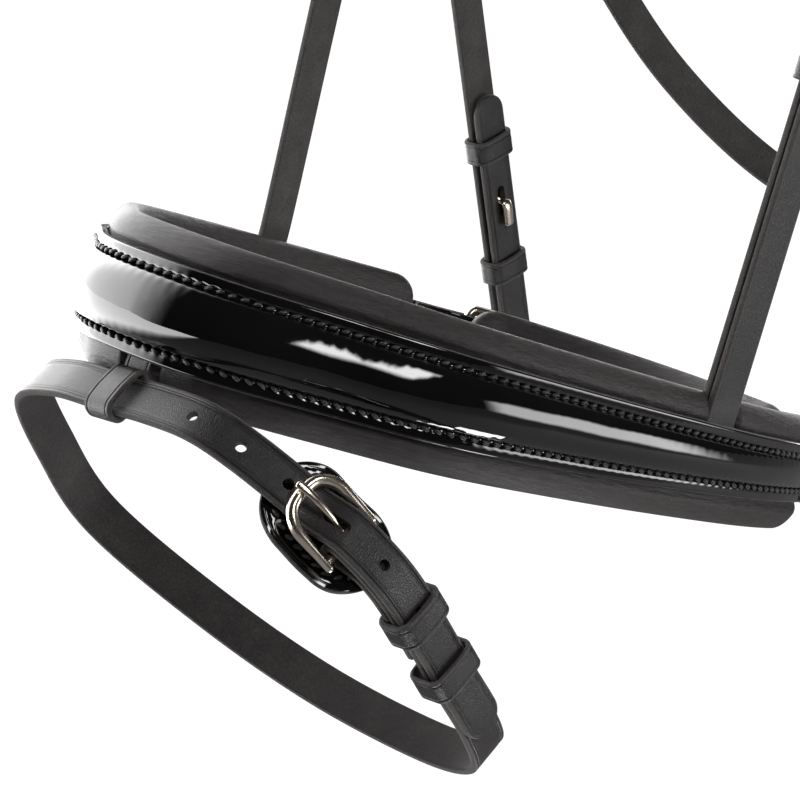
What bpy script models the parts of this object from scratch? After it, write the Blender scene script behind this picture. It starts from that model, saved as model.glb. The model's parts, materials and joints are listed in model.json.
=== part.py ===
"""Crank noseband bridle: a padded noseband with a raised front, a flash strap,
a chin crank, a headpiece, a browband, a throatlash and two cheekpieces.

Metres, +Z up, the nose faces -Y and the near (left) side is +X. The origin is
the middle of the crown pad's flat underside, where the bridle hangs.
"""
import math

import bmesh
import bpy
import numpy as np
from mathutils import Matrix, Vector

# Clearances
GAP = 0.0003
LOOP_CLEARANCE = 0.0005
SLOT_CLEARANCE = 0.0006
OVERRUN = 0.0040
TINY = 0.000001
CLOSE_PLACES = 0.0004
SHARP_ANGLE = math.radians(35)

# Straps
STRAP_WIDTH = 0.0130
STRAP_THICKNESS = 0.0022
PATENT_THICKNESS = 0.0026
STEP_LENGTH = 0.0110
BEND_TOLERANCE = 0.00015
PAD_TOLERANCE = 0.00035
FOLD_LEAD = 0.0110
TIP_SHARE = 0.50
TIP_END_SHARE = 0.15
TIP_STEPS = 3
HOLE_PITCH = 0.0200

# Buckles
BAR_RADIUS = 0.0016
BUCKLE_LENGTH = 0.0150
BUCKLE_BULGE = 0.0022
BUCKLE_CORNER = 0.0040
TONGUE_RADIUS = 0.0009
TONGUE_SLOT_WIDTH = 0.0044
TONGUE_HOLE_WIDTH = 0.0031
TONGUE_HOLE_LENGTH = 0.0078
TONGUE_HOLE_PLACE = 0.0054
HOLE_RADIUS = 0.0016
TURN_BACK = 0.0400
FRONT_LAYER = 0.0010
SIDE_CLEARANCE = 0.0009
HEEL_CORNER = 0.0020
WIRE_SIDES = 7
CORNER_STEPS = 4
TONGUE_LOOP_START = math.radians(-30)
TONGUE_LOOP_END = math.radians(-250)
TONGUE_TIP_SHARE = 0.45
TONGUE_SHARES = (
    (0.19, 0.40),
    (0.33, 0.55),
    (0.50, 0.76),
    (0.72, 0.94),
    (0.90, 1.0),
    (1.03, 1.0),
    (1.13, 0.98),
)

# Loops round the straps
LOOP_THICKNESS = 0.0018
LOOP_WIDTH = 0.0080
CORNER_SHARE = 0.30

# Noseband
NOSE_DROP = 0.3140
NOSE_REACH = 0.2680
NOSEBAND_PITCH = math.radians(24.5)
NOSEBAND_HALF_WIDTH = 0.0955
NOSEBAND_LENGTH = 0.2340
PATENT_FRONT_HEIGHT = 0.0278
PATENT_REAR_HEIGHT = 0.0172
ROLL_HEIGHT = 0.0170
ROLL_RISE = 0.0055
ROLL_END = 0.0300
PAD_FRONT_HEIGHT = 0.0455
PAD_REAR_HEIGHT = 0.0355
PAD_THICKNESS = 0.0090
PAD_DROP = 0.0015
PAD_ROUND = 0.0090
PAD_SETBACK = 0.0240
PAD_CORNER_SHARE = 0.85
PAD_TIP_SHARE = 0.40
PAD_END_SHARES = (0.05, 0.2, 0.5, 1.0)
ROLL_FALL_SHARE = 0.55
ROLL_NARROW_SHARE = 0.35
ROLL_SECTION_SHARES = (
    (1.0, 0.0),
    (0.76, 0.60),
    (0.32, 0.95),
    (-0.32, 0.95),
    (-0.76, 0.60),
    (-1.0, 0.0),
)

# Crank
RING_WIRE = 0.0017
RING_LENGTH = 0.0125
RING_CLEARANCE = 0.0005
RING_CORNER_SHARE = 1.15
RING_TURN = 0.0200
RING_LEAD = 0.0165
CRANK_TURN_SHARE = 0.6
CRANK_HEEL_SHARE = 0.50
CRANK_CHAPE_LENGTH = 0.0320
CRANK_TIP = 0.0360
CRANK_KEEPER = 0.0150
CRANK_RUNNER = 0.0270
CHIN_PAD_CLEAR = 0.0012
CHIN_SAG = 0.0200
CHIN_PAD_HEIGHT = 0.0260
CHIN_PAD_THICKNESS = 0.0090
CHIN_PAD_SETBACK = 0.0150
CHIN_PAD_LEAD = 0.0060
CHIN_PAD_REACH = 0.0020

# Flash
FLASH_SPAN = 0.1110
FLASH_LOOP_WIDTH = 0.0105
FLASH_LOOP_PLAY = 0.0011
FLASH_DROP = 0.0255
FLASH_SET_BACK = 0.0
FLASH_TAB_TUCK = 0.0040
TAB_INSET = 0.0004
TAB_CLEARANCE = 0.0009
FLASH_LEAN = math.radians(27.5)
FLASH_TIP = 0.0740
FLASH_KEEPER = 0.0285
FLASH_RUNNER = 0.0500
GUARD_FRONT = 0.0265
GUARD_REAR = 0.0150
GUARD_DROP = 0.0012
FLASH_HOLE_PITCH = 0.0158
GUARD_WIDTH = 0.0270
GUARD_THICKNESS = 0.0018

# Head
CROWN_FLAT = 0.0180
CROWN_HALF_WIDTH = 0.0890
CROWN_DROP = 0.1500
CROWN_LEAN = 0.0480
CROWN_PAD_THICKNESS = 0.0080
CROWN_PAD_WIDTH = 0.0400
CROWN_PAD_LENGTH = 0.2300
HEADPIECE_THICKNESS = 0.0028
HEADPIECE_SLIT = 0.0010
HEADPIECE_CLEARANCE = 0.0009
SLIT_START = 0.1150
LANE_WIDTH = 0.0130
HANGER_PLACE = 0.1458
CHEEK_DROP = 0.2940
CHEEK_BUCKLE_DROP = 0.0750
BIT_LOOP_RADIUS = 0.0085
BILLET_LOOP_HIGH = 0.0888
BILLET_LOOP_LOW = 0.0436
BILLET_LOOP_THICKNESS = 0.0016
CHEEK_BEHIND_NOSE = 0.2570
CHEEK_DRAW_IN = 0.0140
CHEEK_KEEPER = 0.0180
CHEEK_RUNNER = 0.0340
CHEEK_TIP = 0.0480
TAIL_LEAD = 0.0240
BILLET_LENGTH = 0.1075
BILLET_GAP = 0.0010
HOOK_RADIUS = 0.0012
HOOK_RISE = 0.0687
HOOK_HEAD_RADIUS = 0.0032
HOOK_HEAD_RISE = 0.0012
HOOK_REACH = 0.0080
HOOK_SLOT_LENGTH = 0.0110
HOOK_CROWN_SHARE = 0.6
HOOK_TIP_SHARE = 0.45
HOOK_SHARES = ((0.06, 1.3), (0.25, 1.6), (0.6, 1.6), (1.0, 1.5))
THROAT_DROP = 0.2600
THROAT_LEAN = math.radians(27)
THROAT_BUCKLE_DROP = 0.0700
THROAT_KEEPER = 0.0180
THROAT_RUNNER = 0.0320
THROAT_TIP = 0.0440
HANGER_LEAD = 0.0240
HANGER_START_SHARES = (1.0, 0.5)
HANGER_MIDDLE_SHARES = (0.25, 0.5, 0.75)
HANGER_BUCKLE_RISE = 0.1550
HANGER_KEEPER = 0.0180
HANGER_RUNNER = 0.0380
HANGER_TIP = 0.0520
HANGER_SEAT_UP = 0.0240
HANGER_SEAT_DOWN = 0.0020
POCKET_DEPTH = 0.0300
BROWBAND_REACH = 0.0760
BROWBAND_WIDTH = 0.0160
BROWBAND_THICKNESS = 0.0034
BROWBAND_ROLL_RISE = 0.0050
BROWBAND_LIFT = 0.0360
BROWBAND_DIP = 0.0240
BROWBAND_ROLL_WIDTH = 0.0130
BROWBAND_ROLL_TAPER = 0.0600
BROWBAND_ROLL_INSET = 0.0300

# Shares that shape the routes, of the named sizes beside them
NOSEBAND_PLAN_SHARES = (
    (0.0, 0.0),
    (0.275, 0.024),
    (0.53, 0.115),
    (0.78, 0.23),
    (0.92, 0.405),
    (0.99, 0.575),
    (1.0, 0.745),
    (0.935, 0.885),
    (0.79, 1.0),
)
FLASH_ROUTE_SHARES = (
    (0.662, 0.231),
    (0.542, 0.115),
    (0.405, 0.02),
    (0.29, -0.025),
    (0.15, -0.022),
    (0.0, 0.0),
    (-0.21, 0.028),
    (-0.385, 0.128),
    (-0.43, 0.36),
    (-0.395, 0.63),
    (-0.10, 0.865),
    (0.24, 1.01),
    (0.60, 1.045),
    (0.79, 0.985),
    (0.825, 0.85),
    (0.80, 0.66),
    (0.77, 0.42),
    (0.732, 0.303),
)
BROWBAND_SHARES = (
    (1.0, 0.0),
    (0.97, 0.38),
    (0.74, 0.77),
    (0.38, 0.95),
    (0.0, 1.0),
)
THROAT_SHARES = (
    (1.0, 0.0),
    (1.0, 0.22),
    (0.985, 0.42),
    (0.93, 0.62),
    (0.76, 0.82),
    (0.42, 0.965),
    (0.0, 1.0),
)
CUSHION_POWER_SHARE = 0.62
CROWN_SECTION_SHARES = ((0.70, 0.0), (0.94, 0.16), (1.0, 0.48), (0.93, 0.84), (0.72, 1.0))


def unit(vectors):
    """Vectors scaled to length one."""
    vectors = np.asarray(vectors, float)
    return vectors / np.linalg.norm(vectors, axis=-1, keepdims=True)


def smooth(share):
    """Eases from 0 to 1 with level ends."""
    share = np.clip(share, 0.0, 1.0)
    return share * share * (3.0 - 2.0 * share)


def curve_through(points, closed=False, steps=24):
    """Dense Catmull-Rom curve through the points."""
    points = np.asarray(points, float)
    count = len(points)
    if closed:
        padded = np.vstack([points[-1:], points, points[:2]])
        spans = [tuple(padded[i:i + 4]) for i in range(count)]
    else:
        first = 2 * points[0] - points[1]
        last = 2 * points[-1] - points[-2]
        padded = np.vstack([first, points, last])
        spans = [tuple(padded[i:i + 4]) for i in range(count - 1)]
    u = np.linspace(0, 1, steps, endpoint=False)[:, None]
    pieces = []
    for a, b, c, d in spans:
        rise = (c - a) * u + (2 * a - 5 * b + 4 * c - d) * u**2 + (3 * b - a - 3 * c + d) * u**3
        pieces.append(b + rise / 2)
    if not closed:
        pieces.append(points[-1:])
    return np.vstack(pieces)


class Route:
    """A guide line with a width direction and an outward normal at every length along it."""

    def __init__(self, points, width, closed=False):
        points = np.asarray(points, float)
        width = np.broadcast_to(np.asarray(width, float), points.shape)
        if closed:
            points = np.vstack([points, points[:1]])
            width = np.vstack([width, width[:1]])
        self.closed = closed
        self.points = points
        self.lengths = np.r_[0, np.cumsum(np.linalg.norm(np.diff(points, axis=0), axis=1))]
        self.length = self.lengths[-1]
        if closed:
            ahead = np.vstack([points[1:], points[1:2]])
            behind = np.vstack([points[-2:-1], points[:-1]])
            tangents = unit(ahead - behind)
        else:
            tangents = unit(np.gradient(points, self.lengths, axis=0))
        self.tangents = tangents
        self.widths = unit(width - np.sum(width * tangents, axis=1, keepdims=True) * tangents)

    def read(self, values, s):
        """Values along the route at lengths s."""
        s = np.atleast_1d(np.asarray(s, float))
        if self.closed:
            s = np.mod(s, self.length)
        return np.stack([np.interp(s, self.lengths, values[:, k]) for k in range(3)], axis=1)

    def at(self, s, n=0.0, w=0.0):
        """Points at lengths s, n outwards and w across."""
        s = np.atleast_1d(np.asarray(s, float))
        points = self.read(self.points, s)
        tangent = unit(self.read(self.tangents, s))
        width = unit(self.read(self.widths, s))
        normal = unit(np.cross(tangent, width))
        if not self.closed:
            beyond = s - np.clip(s, 0, self.length)
            points = points + tangent * beyond[:, None]
        n = np.broadcast_to(np.asarray(n, float), s.shape)
        w = np.broadcast_to(np.asarray(w, float), s.shape)
        return points + normal * n[:, None] + width * w[:, None]

    def axes(self, s):
        """Tangent, width and outward directions at one length."""
        tangent = unit(self.read(self.tangents, s))[0]
        width = unit(self.read(self.widths, s))[0]
        return tangent, width, unit(np.cross(tangent, width))

    def line(self, s, n=0.0, w=0.0):
        """A strap's centre line along this route, with its width directions."""
        s = np.atleast_1d(np.asarray(s, float))
        return self.at(s, n, w), unit(self.read(self.widths, s))

    def lifted(self, s, n):
        """A new route that runs n outwards of this one."""
        points, widths = self.line(s, n)
        return Route(points, widths)


def joined(*lines):
    """One centre line from several that follow each other."""
    points = np.vstack([line[0] for line in lines])
    widths = np.vstack([line[1] for line in lines])
    keep = np.r_[True, np.linalg.norm(np.diff(points, axis=0), axis=1) > TINY]
    return points[keep], widths[keep]


def bend_places(points, lengths, tolerance):
    """Which points of a dense line keep straight pieces within a tolerance of it."""
    keep = {0, len(points) - 1}
    spans = [(0, len(points) - 1)]
    while spans:
        first, last = spans.pop()
        if last - first < 2:
            continue
        chord = points[last] - points[first]
        inside = points[first + 1:last] - points[first]
        share = np.clip(inside @ chord / max(chord @ chord, TINY * TINY), 0, 1)[:, None]
        away = np.linalg.norm(inside - share * chord, axis=1)
        far = int(np.argmax(away))
        if away[far] > tolerance or lengths[last] - lengths[first] > STEP_LENGTH * 2:
            middle = first + 1 + far
            if away[far] <= tolerance:
                middle = int(np.searchsorted(lengths, (lengths[first] + lengths[last]) / 2))
                middle = min(max(middle, first + 1), last - 1)
            keep.add(middle)
            spans += [(first, middle), (middle, last)]
    return sorted(keep)


def stations(points, widths, tips=(0.0, 0.0), tolerance=BEND_TOLERANCE, marks=()):
    """Picks places along a dense line: close together where it bends, and at its rounded tips."""
    lengths = np.r_[0, np.cumsum(np.linalg.norm(np.diff(points, axis=0), axis=1))]
    tangents = unit(np.diff(points, axis=0))
    total = lengths[-1]
    picked = [lengths[i] for i in bend_places(points, lengths, tolerance)]
    extra = list(marks)
    for k in range(TIP_STEPS + 1):
        reach = 1 - math.cos(math.pi / 2 * k / TIP_STEPS)
        if tips[0]:
            extra.append(tips[0] * reach)
        if tips[1]:
            extra.append(total - tips[1] * reach)
    picked = [p for p in picked if all(abs(p - e) > CLOSE_PLACES for e in extra)]
    picked = np.unique(np.round(picked + extra + [0.0, total], 7))
    keep = [0.0] + [p for p in picked if TINY * 100 < p < total - TINY * 100] + [total]
    keep = np.array(keep)
    centre = np.stack([np.interp(keep, lengths, points[:, k]) for k in range(3)], axis=1)
    width = unit(np.stack([np.interp(keep, lengths, widths[:, k]) for k in range(3)], axis=1))
    mid = np.vstack([tangents[:1], unit(tangents[:-1] + tangents[1:]), tangents[-1:]])
    tangent = unit(np.stack([np.interp(keep, lengths, mid[:, k]) for k in range(3)], axis=1))
    width = unit(width - np.sum(width * tangent, axis=1, keepdims=True) * tangent)
    normal = unit(np.cross(tangent, width))
    return keep, centre, width, normal


def tip_share(lengths, total, tips):
    """How much of its full width a strap has at each place, with round ends."""
    share = np.ones_like(lengths)
    for tip, distance in ((tips[0], lengths), (tips[1], total - lengths)):
        if tip:
            inside = np.clip(1 - distance / tip, 0, 1)
            share = np.minimum(share, np.sqrt(1 - inside**2))
    return np.maximum(share, TIP_END_SHARE)


def material(name, colour, roughness, metallic=0.0):
    """Makes one Principled material."""
    made = bpy.data.materials.new(name)
    made.use_nodes = True
    shader = made.node_tree.nodes["Principled BSDF"]
    shader.inputs["Base Color"].default_value = (*colour, 1)
    shader.inputs["Roughness"].default_value = roughness
    shader.inputs["Metallic"].default_value = metallic
    made.diffuse_color = (*colour, 1)
    return made


FINISHES = {
    "leather": ((0.020, 0.018, 0.018), 0.45, 0.0),
    "patent": ((0.006, 0.006, 0.006), 0.08, 0.0),
    "padding": ((0.028, 0.026, 0.026), 0.55, 0.0),
    "nickel": ((0.72, 0.69, 0.65), 0.16, 1.0),
}


def add_object(name, verts, faces, finish, smooth_shaded=False):
    """Adds one closed mesh with outward faces as a named object."""
    mesh = bpy.data.meshes.new(name)
    mesh.from_pydata([tuple(v) for v in verts], [], faces)
    shape = bmesh.new()
    shape.from_mesh(mesh)
    bmesh.ops.recalc_face_normals(shape, faces=shape.faces)
    if shape.calc_volume(signed=True) < 0:
        bmesh.ops.reverse_faces(shape, faces=shape.faces)
    shape.to_mesh(mesh)
    shape.free()
    made = bpy.data.objects.new(name, mesh)
    bpy.context.collection.objects.link(made)
    mesh.materials.append(material(name + "_finish", *FINISHES[finish]))
    if smooth_shaded:
        mesh.shade_smooth()
        mesh.set_sharp_from_angle(angle=SHARP_ANGLE)
    return made


def skin(rings, closed=False):
    """Vertices and faces of sections joined one after another."""
    count, around = rings.shape[0], rings.shape[1]
    verts = rings.reshape(-1, 3)
    faces = []
    last = count if closed else count - 1
    for i in range(last):
        a = i * around
        b = ((i + 1) % count) * around
        for k in range(around):
            m = (k + 1) % around
            faces.append((a + k, b + k, b + m, a + m))
    if not closed:
        faces.append(tuple(range(around))[::-1])
        faces.append(tuple(range((count - 1) * around, count * around)))
    return verts, faces


def strap(name, line, width=STRAP_WIDTH, thickness=STRAP_THICKNESS, tips=(False, False), finish="leather"):
    """A flat strap along a centre line, with square or round ends."""
    tip = tuple(width * TIP_SHARE if wanted else 0.0 for wanted in tips)
    places, centre, across, normal = stations(*line, tips=tip)
    share = tip_share(places, places[-1], tip)[:, None]
    half = width / 2 * share
    up = thickness / 2
    rings = np.stack(
        [
            centre + across * half + normal * up,
            centre - across * half + normal * up,
            centre - across * half - normal * up,
            centre + across * half - normal * up,
        ],
        axis=1,
    )
    return add_object(name, *skin(rings), finish)


def profiled(name, line, outline, finish, smooth_shaded=True, tolerance=BEND_TOLERANCE, marks=()):
    """A body whose section, in across and outward sizes, follows the length along its line."""
    places, centre, across, normal = stations(*line, tolerance=tolerance, marks=marks)
    rings = []
    for place, point, w, n in zip(places, centre, across, normal):
        section = outline(place, places[-1])
        rings.append(point + section[:, :1] * w + section[:, 1:] * n)
    return add_object(name, *skin(np.array(rings)), finish, smooth_shaded)


def wire(name, points, radii, sides=WIRE_SIDES, closed=False, finish="nickel", side_hint=(0, 0, 1)):
    """A round bar along points, with its own radius at each."""
    points = np.asarray(points, float)
    radii = np.broadcast_to(np.asarray(radii, float), (len(points),))
    if closed:
        tangents = unit(np.roll(points, -1, axis=0) - np.roll(points, 1, axis=0))
    else:
        tangents = unit(np.gradient(points, axis=0))
    hint = np.broadcast_to(np.asarray(side_hint, float), points.shape)
    first = unit(np.cross(tangents, hint))
    second = np.cross(tangents, first)
    angles = np.linspace(0, 2 * math.pi, sides, endpoint=False)
    ring = first[:, None] * np.cos(angles)[None, :, None] + second[:, None] * np.sin(angles)[None, :, None]
    rings = points[:, None] + ring * radii[:, None, None]
    return add_object(name, *skin(rings, closed), finish, True)


def band(name, route, s, w_range, n_range, length=LOOP_WIDTH, thickness=LOOP_THICKNESS, finish="leather"):
    """A closed loop round what lies in the given across and outward ranges."""
    corner = thickness * CORNER_SHARE
    rings = []
    for reach in (0.0, thickness):
        w0, w1 = w_range[0] - reach, w_range[1] + reach
        n0, n1 = n_range[0] - reach, n_range[1] + reach
        cut = corner * (1 + reach / thickness)
        rings.append(
            (
                (w0 + cut, n0), (w1 - cut, n0), (w1, n0 + cut), (w1, n1 - cut),
                (w1 - cut, n1), (w0 + cut, n1), (w0, n1 - cut), (w0, n0 + cut),
            )
        )
    tangent, width, normal = route.axes(s)
    middle = route.at(s)[0]
    loops = []
    for side, ring in ((-1, 0), (1, 0), (1, 1), (-1, 1)):
        loops.append([middle + tangent * side * length / 2 + width * w + normal * n for w, n in rings[ring]])
    rings = np.array(loops)
    verts, faces = skin(rings, closed=True)
    return add_object(name, verts, faces, finish)


def set_origin(made, origin):
    """Puts an object's origin on its joint's axis and leaves its shape where it is."""
    made.data.transform(Matrix.Translation(-Vector(origin)))
    made.location = Vector(origin)


def carry(pivot, *pieces):
    """Hangs pieces on an empty that stands on their joint's axis."""
    for piece in pieces:
        piece.parent = pivot
        piece.location = piece.location - pivot.location


def cutter(name, verts, faces):
    """A hidden shape that is cut out of others."""
    made = add_object(name, verts, faces, "leather")
    made.hide_render = True
    made.display_type = "WIRE"
    return made


def cut(body, tool):
    """Takes the tool's shape out of a body."""
    modifier = body.modifiers.new(tool.name, "BOOLEAN")
    modifier.operation = "DIFFERENCE"
    modifier.solver = "EXACT"
    modifier.object = tool


def prism(origin, along, across, outward, outline, depth):
    """An outline, in along and across sizes, drawn through depth on both sides of its origin."""
    verts = []
    for side in (-1, 1):
        for a, b in outline:
            verts.append(origin + along * a + across * b + outward * side * depth)
    count = len(outline)
    faces = [tuple(range(count)), tuple(range(2 * count - 1, count - 1, -1))]
    for k in range(count):
        m = (k + 1) % count
        faces.append((k, k + count, m + count, m))
    return verts, faces


def oval(length, width, sides=10):
    """A slot's outline with round ends."""
    points = []
    for k in range(sides):
        angle = 2 * math.pi * (k + 0.5) / sides
        a = math.cos(angle)
        shift = (length - width) / 2 * (1 if a > 0 else -1)
        points.append((shift + a * width / 2, math.sin(angle) * width / 2))
    return points


X = np.array([1.0, 0.0, 0.0])
Y = np.array([0.0, 1.0, 0.0])
Z = np.array([0.0, 0.0, 1.0])
MIRROR = np.array([-1.0, 1.0, 1.0])
NOSE = np.array([0.0, -NOSE_REACH, -NOSE_DROP])
REARWARD = np.array([0.0, math.cos(NOSEBAND_PITCH), -math.sin(NOSEBAND_PITCH)])
BAND_UP = np.array([0.0, math.sin(NOSEBAND_PITCH), math.cos(NOSEBAND_PITCH)])

# Places of the layers at a buckle, from the heel bar's centre
FOLD_RADIUS = BAR_RADIUS + GAP + STRAP_THICKNESS / 2
LAYER = (STRAP_THICKNESS + GAP) / 2
BILLET_LAYER = LAYER + STRAP_THICKNESS + GAP
BILLET_TOP = FOLD_RADIUS + STRAP_THICKNESS + GAP
FRONT_BAR_RISE = FRONT_LAYER + STRAP_THICKNESS / 2 + GAP + BAR_RADIUS
LOOP_TONGUE = BAR_RADIUS + GAP + TONGUE_RADIUS
TONGUE_REST = FRONT_BAR_RISE + BAR_RADIUS + GAP + TONGUE_RADIUS


def chape_height(s):
    """Height of the main folded layer behind the heel bar."""
    return LAYER + (FOLD_RADIUS - LAYER) * smooth(1 + s / FOLD_LEAD)


def billet_height(s):
    """Height of the strap that runs under the front bar and over the heel bar."""
    ahead = BILLET_TOP + (FRONT_LAYER - BILLET_TOP) * smooth(s / (BUCKLE_LENGTH - BAR_RADIUS))
    behind = BILLET_LAYER + (BILLET_TOP - BILLET_LAYER) * smooth(1 + s / FOLD_LEAD)
    return np.where(s > 0, ahead, behind)


def chape_track(turned, reach, bar=BAR_RADIUS, thickness=STRAP_THICKNESS):
    """A strap end folded round a bar: its turned end inside, then its main layer out to reach."""
    radius = bar + GAP + thickness / 2
    layer = (thickness + GAP) / 2
    inner = np.linspace(-turned, 0, 80)[:-1]
    angles = np.linspace(-math.pi / 2, math.pi / 2, 13)
    outer = np.linspace(0, -reach, 160)[1:]
    s = np.r_[inner, radius * np.cos(angles), outer]
    n = np.r_[
        -(layer + (radius - layer) * smooth(1 + inner / FOLD_LEAD)),
        radius * np.sin(angles),
        layer + (radius - layer) * smooth(1 + outer / FOLD_LEAD),
    ]
    return s, n


def billet_track(reach, tip):
    """A strap from reach in front of the buckle, through it, to its tip behind."""
    s = np.linspace(reach, -tip, 200)
    return s, billet_height(s)


def buckle_frame(name, route, s0, flip):
    """The bent wire frame: a straight heel bar, two sides and a bowed front bar."""
    half = STRAP_WIDTH / 2 + BAR_RADIUS + SIDE_CLEARANCE
    heel = HEEL_CORNER
    front = BUCKLE_CORNER
    outline = []
    for centre_s, centre_w, radius, start in (
        (heel, half - heel, heel, math.pi),
        (BUCKLE_LENGTH - front, half - front, front, math.pi / 2),
    ):
        for k in range(CORNER_STEPS + 1):
            angle = start - math.pi / 2 * k / CORNER_STEPS
            outline.append((centre_s + radius * math.cos(angle), centre_w + radius * math.sin(angle)))
    outline.append((BUCKLE_LENGTH, (half - front) / 2))
    outline.append((BUCKLE_LENGTH, 0.0))
    outline += [(s, -w) for s, w in outline[-2::-1]]
    points = []
    for s, w in outline:
        bow = BUCKLE_BULGE * smooth(2 * s / BUCKLE_LENGTH - 1) * (1 - (w / half) ** 2)
        rise = FRONT_BAR_RISE * min(1.0, s / BUCKLE_LENGTH)
        points.append(route.at(s0 + flip * (s + bow), rise, w)[0])
    normal = route.axes(s0)[2]
    return wire(name, points, BAR_RADIUS, closed=True, side_hint=normal)


def buckle_tongue(name, route, s0, flip):
    """The pin: a loop round the heel bar, then up through the strap to rest on the front bar."""
    angles = np.linspace(TONGUE_LOOP_START, TONGUE_LOOP_END, 9)
    s = list(LOOP_TONGUE * np.cos(angles))
    n = list(LOOP_TONGUE * np.sin(angles))
    reach = BUCKLE_LENGTH + BUCKLE_BULGE
    for share_s, share_n in TONGUE_SHARES:
        s.append(reach * share_s)
        n.append(TONGUE_REST * share_n)
    tangent, _, normal = route.axes(s0)
    bar = (route.at(s0 + flip * BUCKLE_LENGTH, FRONT_BAR_RISE) - route.at(s0))[0]
    tilt = math.atan2(bar @ normal, flip * bar @ tangent) - math.atan2(FRONT_BAR_RISE, BUCKLE_LENGTH)
    s, n = np.array(s), np.array(n)
    along = s * math.cos(tilt) - n * math.sin(tilt)
    outward = s * math.sin(tilt) + n * math.cos(tilt)
    points = route.at(s0)[0] + tangent * flip * along[:, None] + normal * outward[:, None]
    radii = np.full(len(s), TONGUE_RADIUS)
    radii[-1] = TONGUE_RADIUS * TONGUE_TIP_SHARE
    return wire(name, points, radii, sides=6, side_hint=route.axes(s0)[1])


def slot_cutter(name, route, s0, flip):
    """The slot in the fold that leaves room for the tongue's loop."""
    back = LOOP_TONGUE + TONGUE_RADIUS + 2 * SLOT_CLEARANCE
    edge = FOLD_RADIUS + STRAP_THICKNESS / 2 + GAP / 2
    top = [(-back * k / 3, chape_height(-back * k / 3) + STRAP_THICKNESS / 2 + GAP / 2) for k in (3, 2, 1)]
    arc = [(edge * math.sin(a), edge * math.cos(a)) for a in np.linspace(0, math.pi / 2, 5)]
    outline = top + arc + [(edge, -edge), (-back, -edge)]
    tangent, width, normal = route.axes(s0)
    verts = []
    for side in (-1, 1):
        for s, n in outline:
            verts.append(route.at(s0 + flip * s, n)[0] + width * side * TONGUE_SLOT_WIDTH / 2)
    count = len(outline)
    faces = [tuple(range(count)), tuple(range(2 * count - 1, count - 1, -1))]
    faces += [(k, k + count, (k + 1) % count + count, (k + 1) % count) for k in range(count)]
    return cutter(name, verts, faces)


def buckle(
    prefix, route, s0, flip, chape, billet, keeper_at, runner_at,
    pitch=HOLE_PITCH, holes=(-2, -1, 1, 2), under=0.0,
):
    """Everything at one buckle: frame, tongue, fixed keeper, sliding runner, slot and holes."""
    frame = buckle_frame(prefix + "_buckle_frame", route, s0, flip)
    tongue = buckle_tongue(prefix + "_buckle_tongue", route, s0, flip)
    set_origin(tongue, route.at(s0)[0])
    low = -LAYER - STRAP_THICKNESS / 2 - LOOP_CLEARANCE - under
    high = BILLET_LAYER + STRAP_THICKNESS / 2 + LOOP_CLEARANCE
    side = STRAP_WIDTH / 2 + LOOP_CLEARANCE
    keeper = band(prefix + "_keeper", route, s0 - flip * keeper_at, (-side, side), (low, high))
    runner = band(prefix + "_runner", route, s0 - flip * runner_at, (-side, side), (low, high))
    set_origin(runner, route.at(s0 - flip * runner_at, (low + high) / 2)[0])
    cut(chape, slot_cutter(prefix + "_slot", route, s0, flip))
    place = TONGUE_HOLE_PLACE
    tangent, width, normal = route.axes(s0)
    middle = route.at(s0 + flip * place, float(billet_height(place)))[0]
    outline = oval(TONGUE_HOLE_LENGTH, TONGUE_HOLE_WIDTH)
    shape = prism(middle, tangent, width, normal, outline, TONGUE_REST / 2)
    cut(billet, cutter(prefix + "_tongue_hole", *shape))
    for number, step in enumerate(holes):
        s = place + step * pitch
        where = s0 + flip * s
        tangent, width, normal = route.axes(where)
        middle = route.at(where, float(billet_height(s)))[0]
        outline = oval(2 * HOLE_RADIUS, 2 * HOLE_RADIUS, 8)
        depth = (STRAP_THICKNESS + GAP) / 2
        shape = prism(middle, tangent, width, normal, outline, depth)
        cut(billet, cutter(f"{prefix}_hole_{number}", *shape))
    return frame, tongue, keeper, runner


# Noseband
def noseband_route():
    """The outer face of the patent strap, from the far ring round the nose to the near ring."""
    half = np.array([(x * NOSEBAND_HALF_WIDTH, t * NOSEBAND_LENGTH) for x, t in NOSEBAND_PLAN_SHARES])
    plan = curve_through(np.vstack([half[:0:-1] * (-1, 1), half]))
    points = NOSE + plan[:, :1] * X + plan[:, 1:] * REARWARD
    return Route(points, BAND_UP)


def place_at_depth(route, depth):
    """Length along the noseband's near half where it lies this far behind the nose."""
    half = np.linspace(route.length / 2, route.length, 200)
    reach = (route.at(half) - NOSE) @ REARWARD
    return float(np.interp(depth, reach, half))


def ring_frame(name, route, s0, flip, lift):
    """A rectangular ring whose first bar is in the noseband's fold."""
    half = PATENT_REAR_HEIGHT / 2 + RING_CLEARANCE + RING_WIRE
    corner = RING_WIRE * RING_CORNER_SHARE
    outline = []
    corners = (
        (0, half, math.pi),
        (RING_LENGTH, half, math.pi / 2),
        (RING_LENGTH, -half, 0),
        (0, -half, -math.pi / 2),
    )
    for s, w, start in corners:
        inward_s = corner if s == 0 else -corner
        inward_w = -corner if w > 0 else corner
        for k in range(CORNER_STEPS):
            angle = start - math.pi / 2 * k / (CORNER_STEPS - 1)
            outline.append((s + inward_s + corner * math.cos(angle), w + inward_w + corner * math.sin(angle)))
    tangent, width, normal = route.axes(s0)
    origin = route.at(s0, lift)[0]
    points = [origin + tangent * flip * s + width * w for s, w in outline]
    return wire(name, points, RING_WIRE, closed=True, side_hint=normal)


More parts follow.
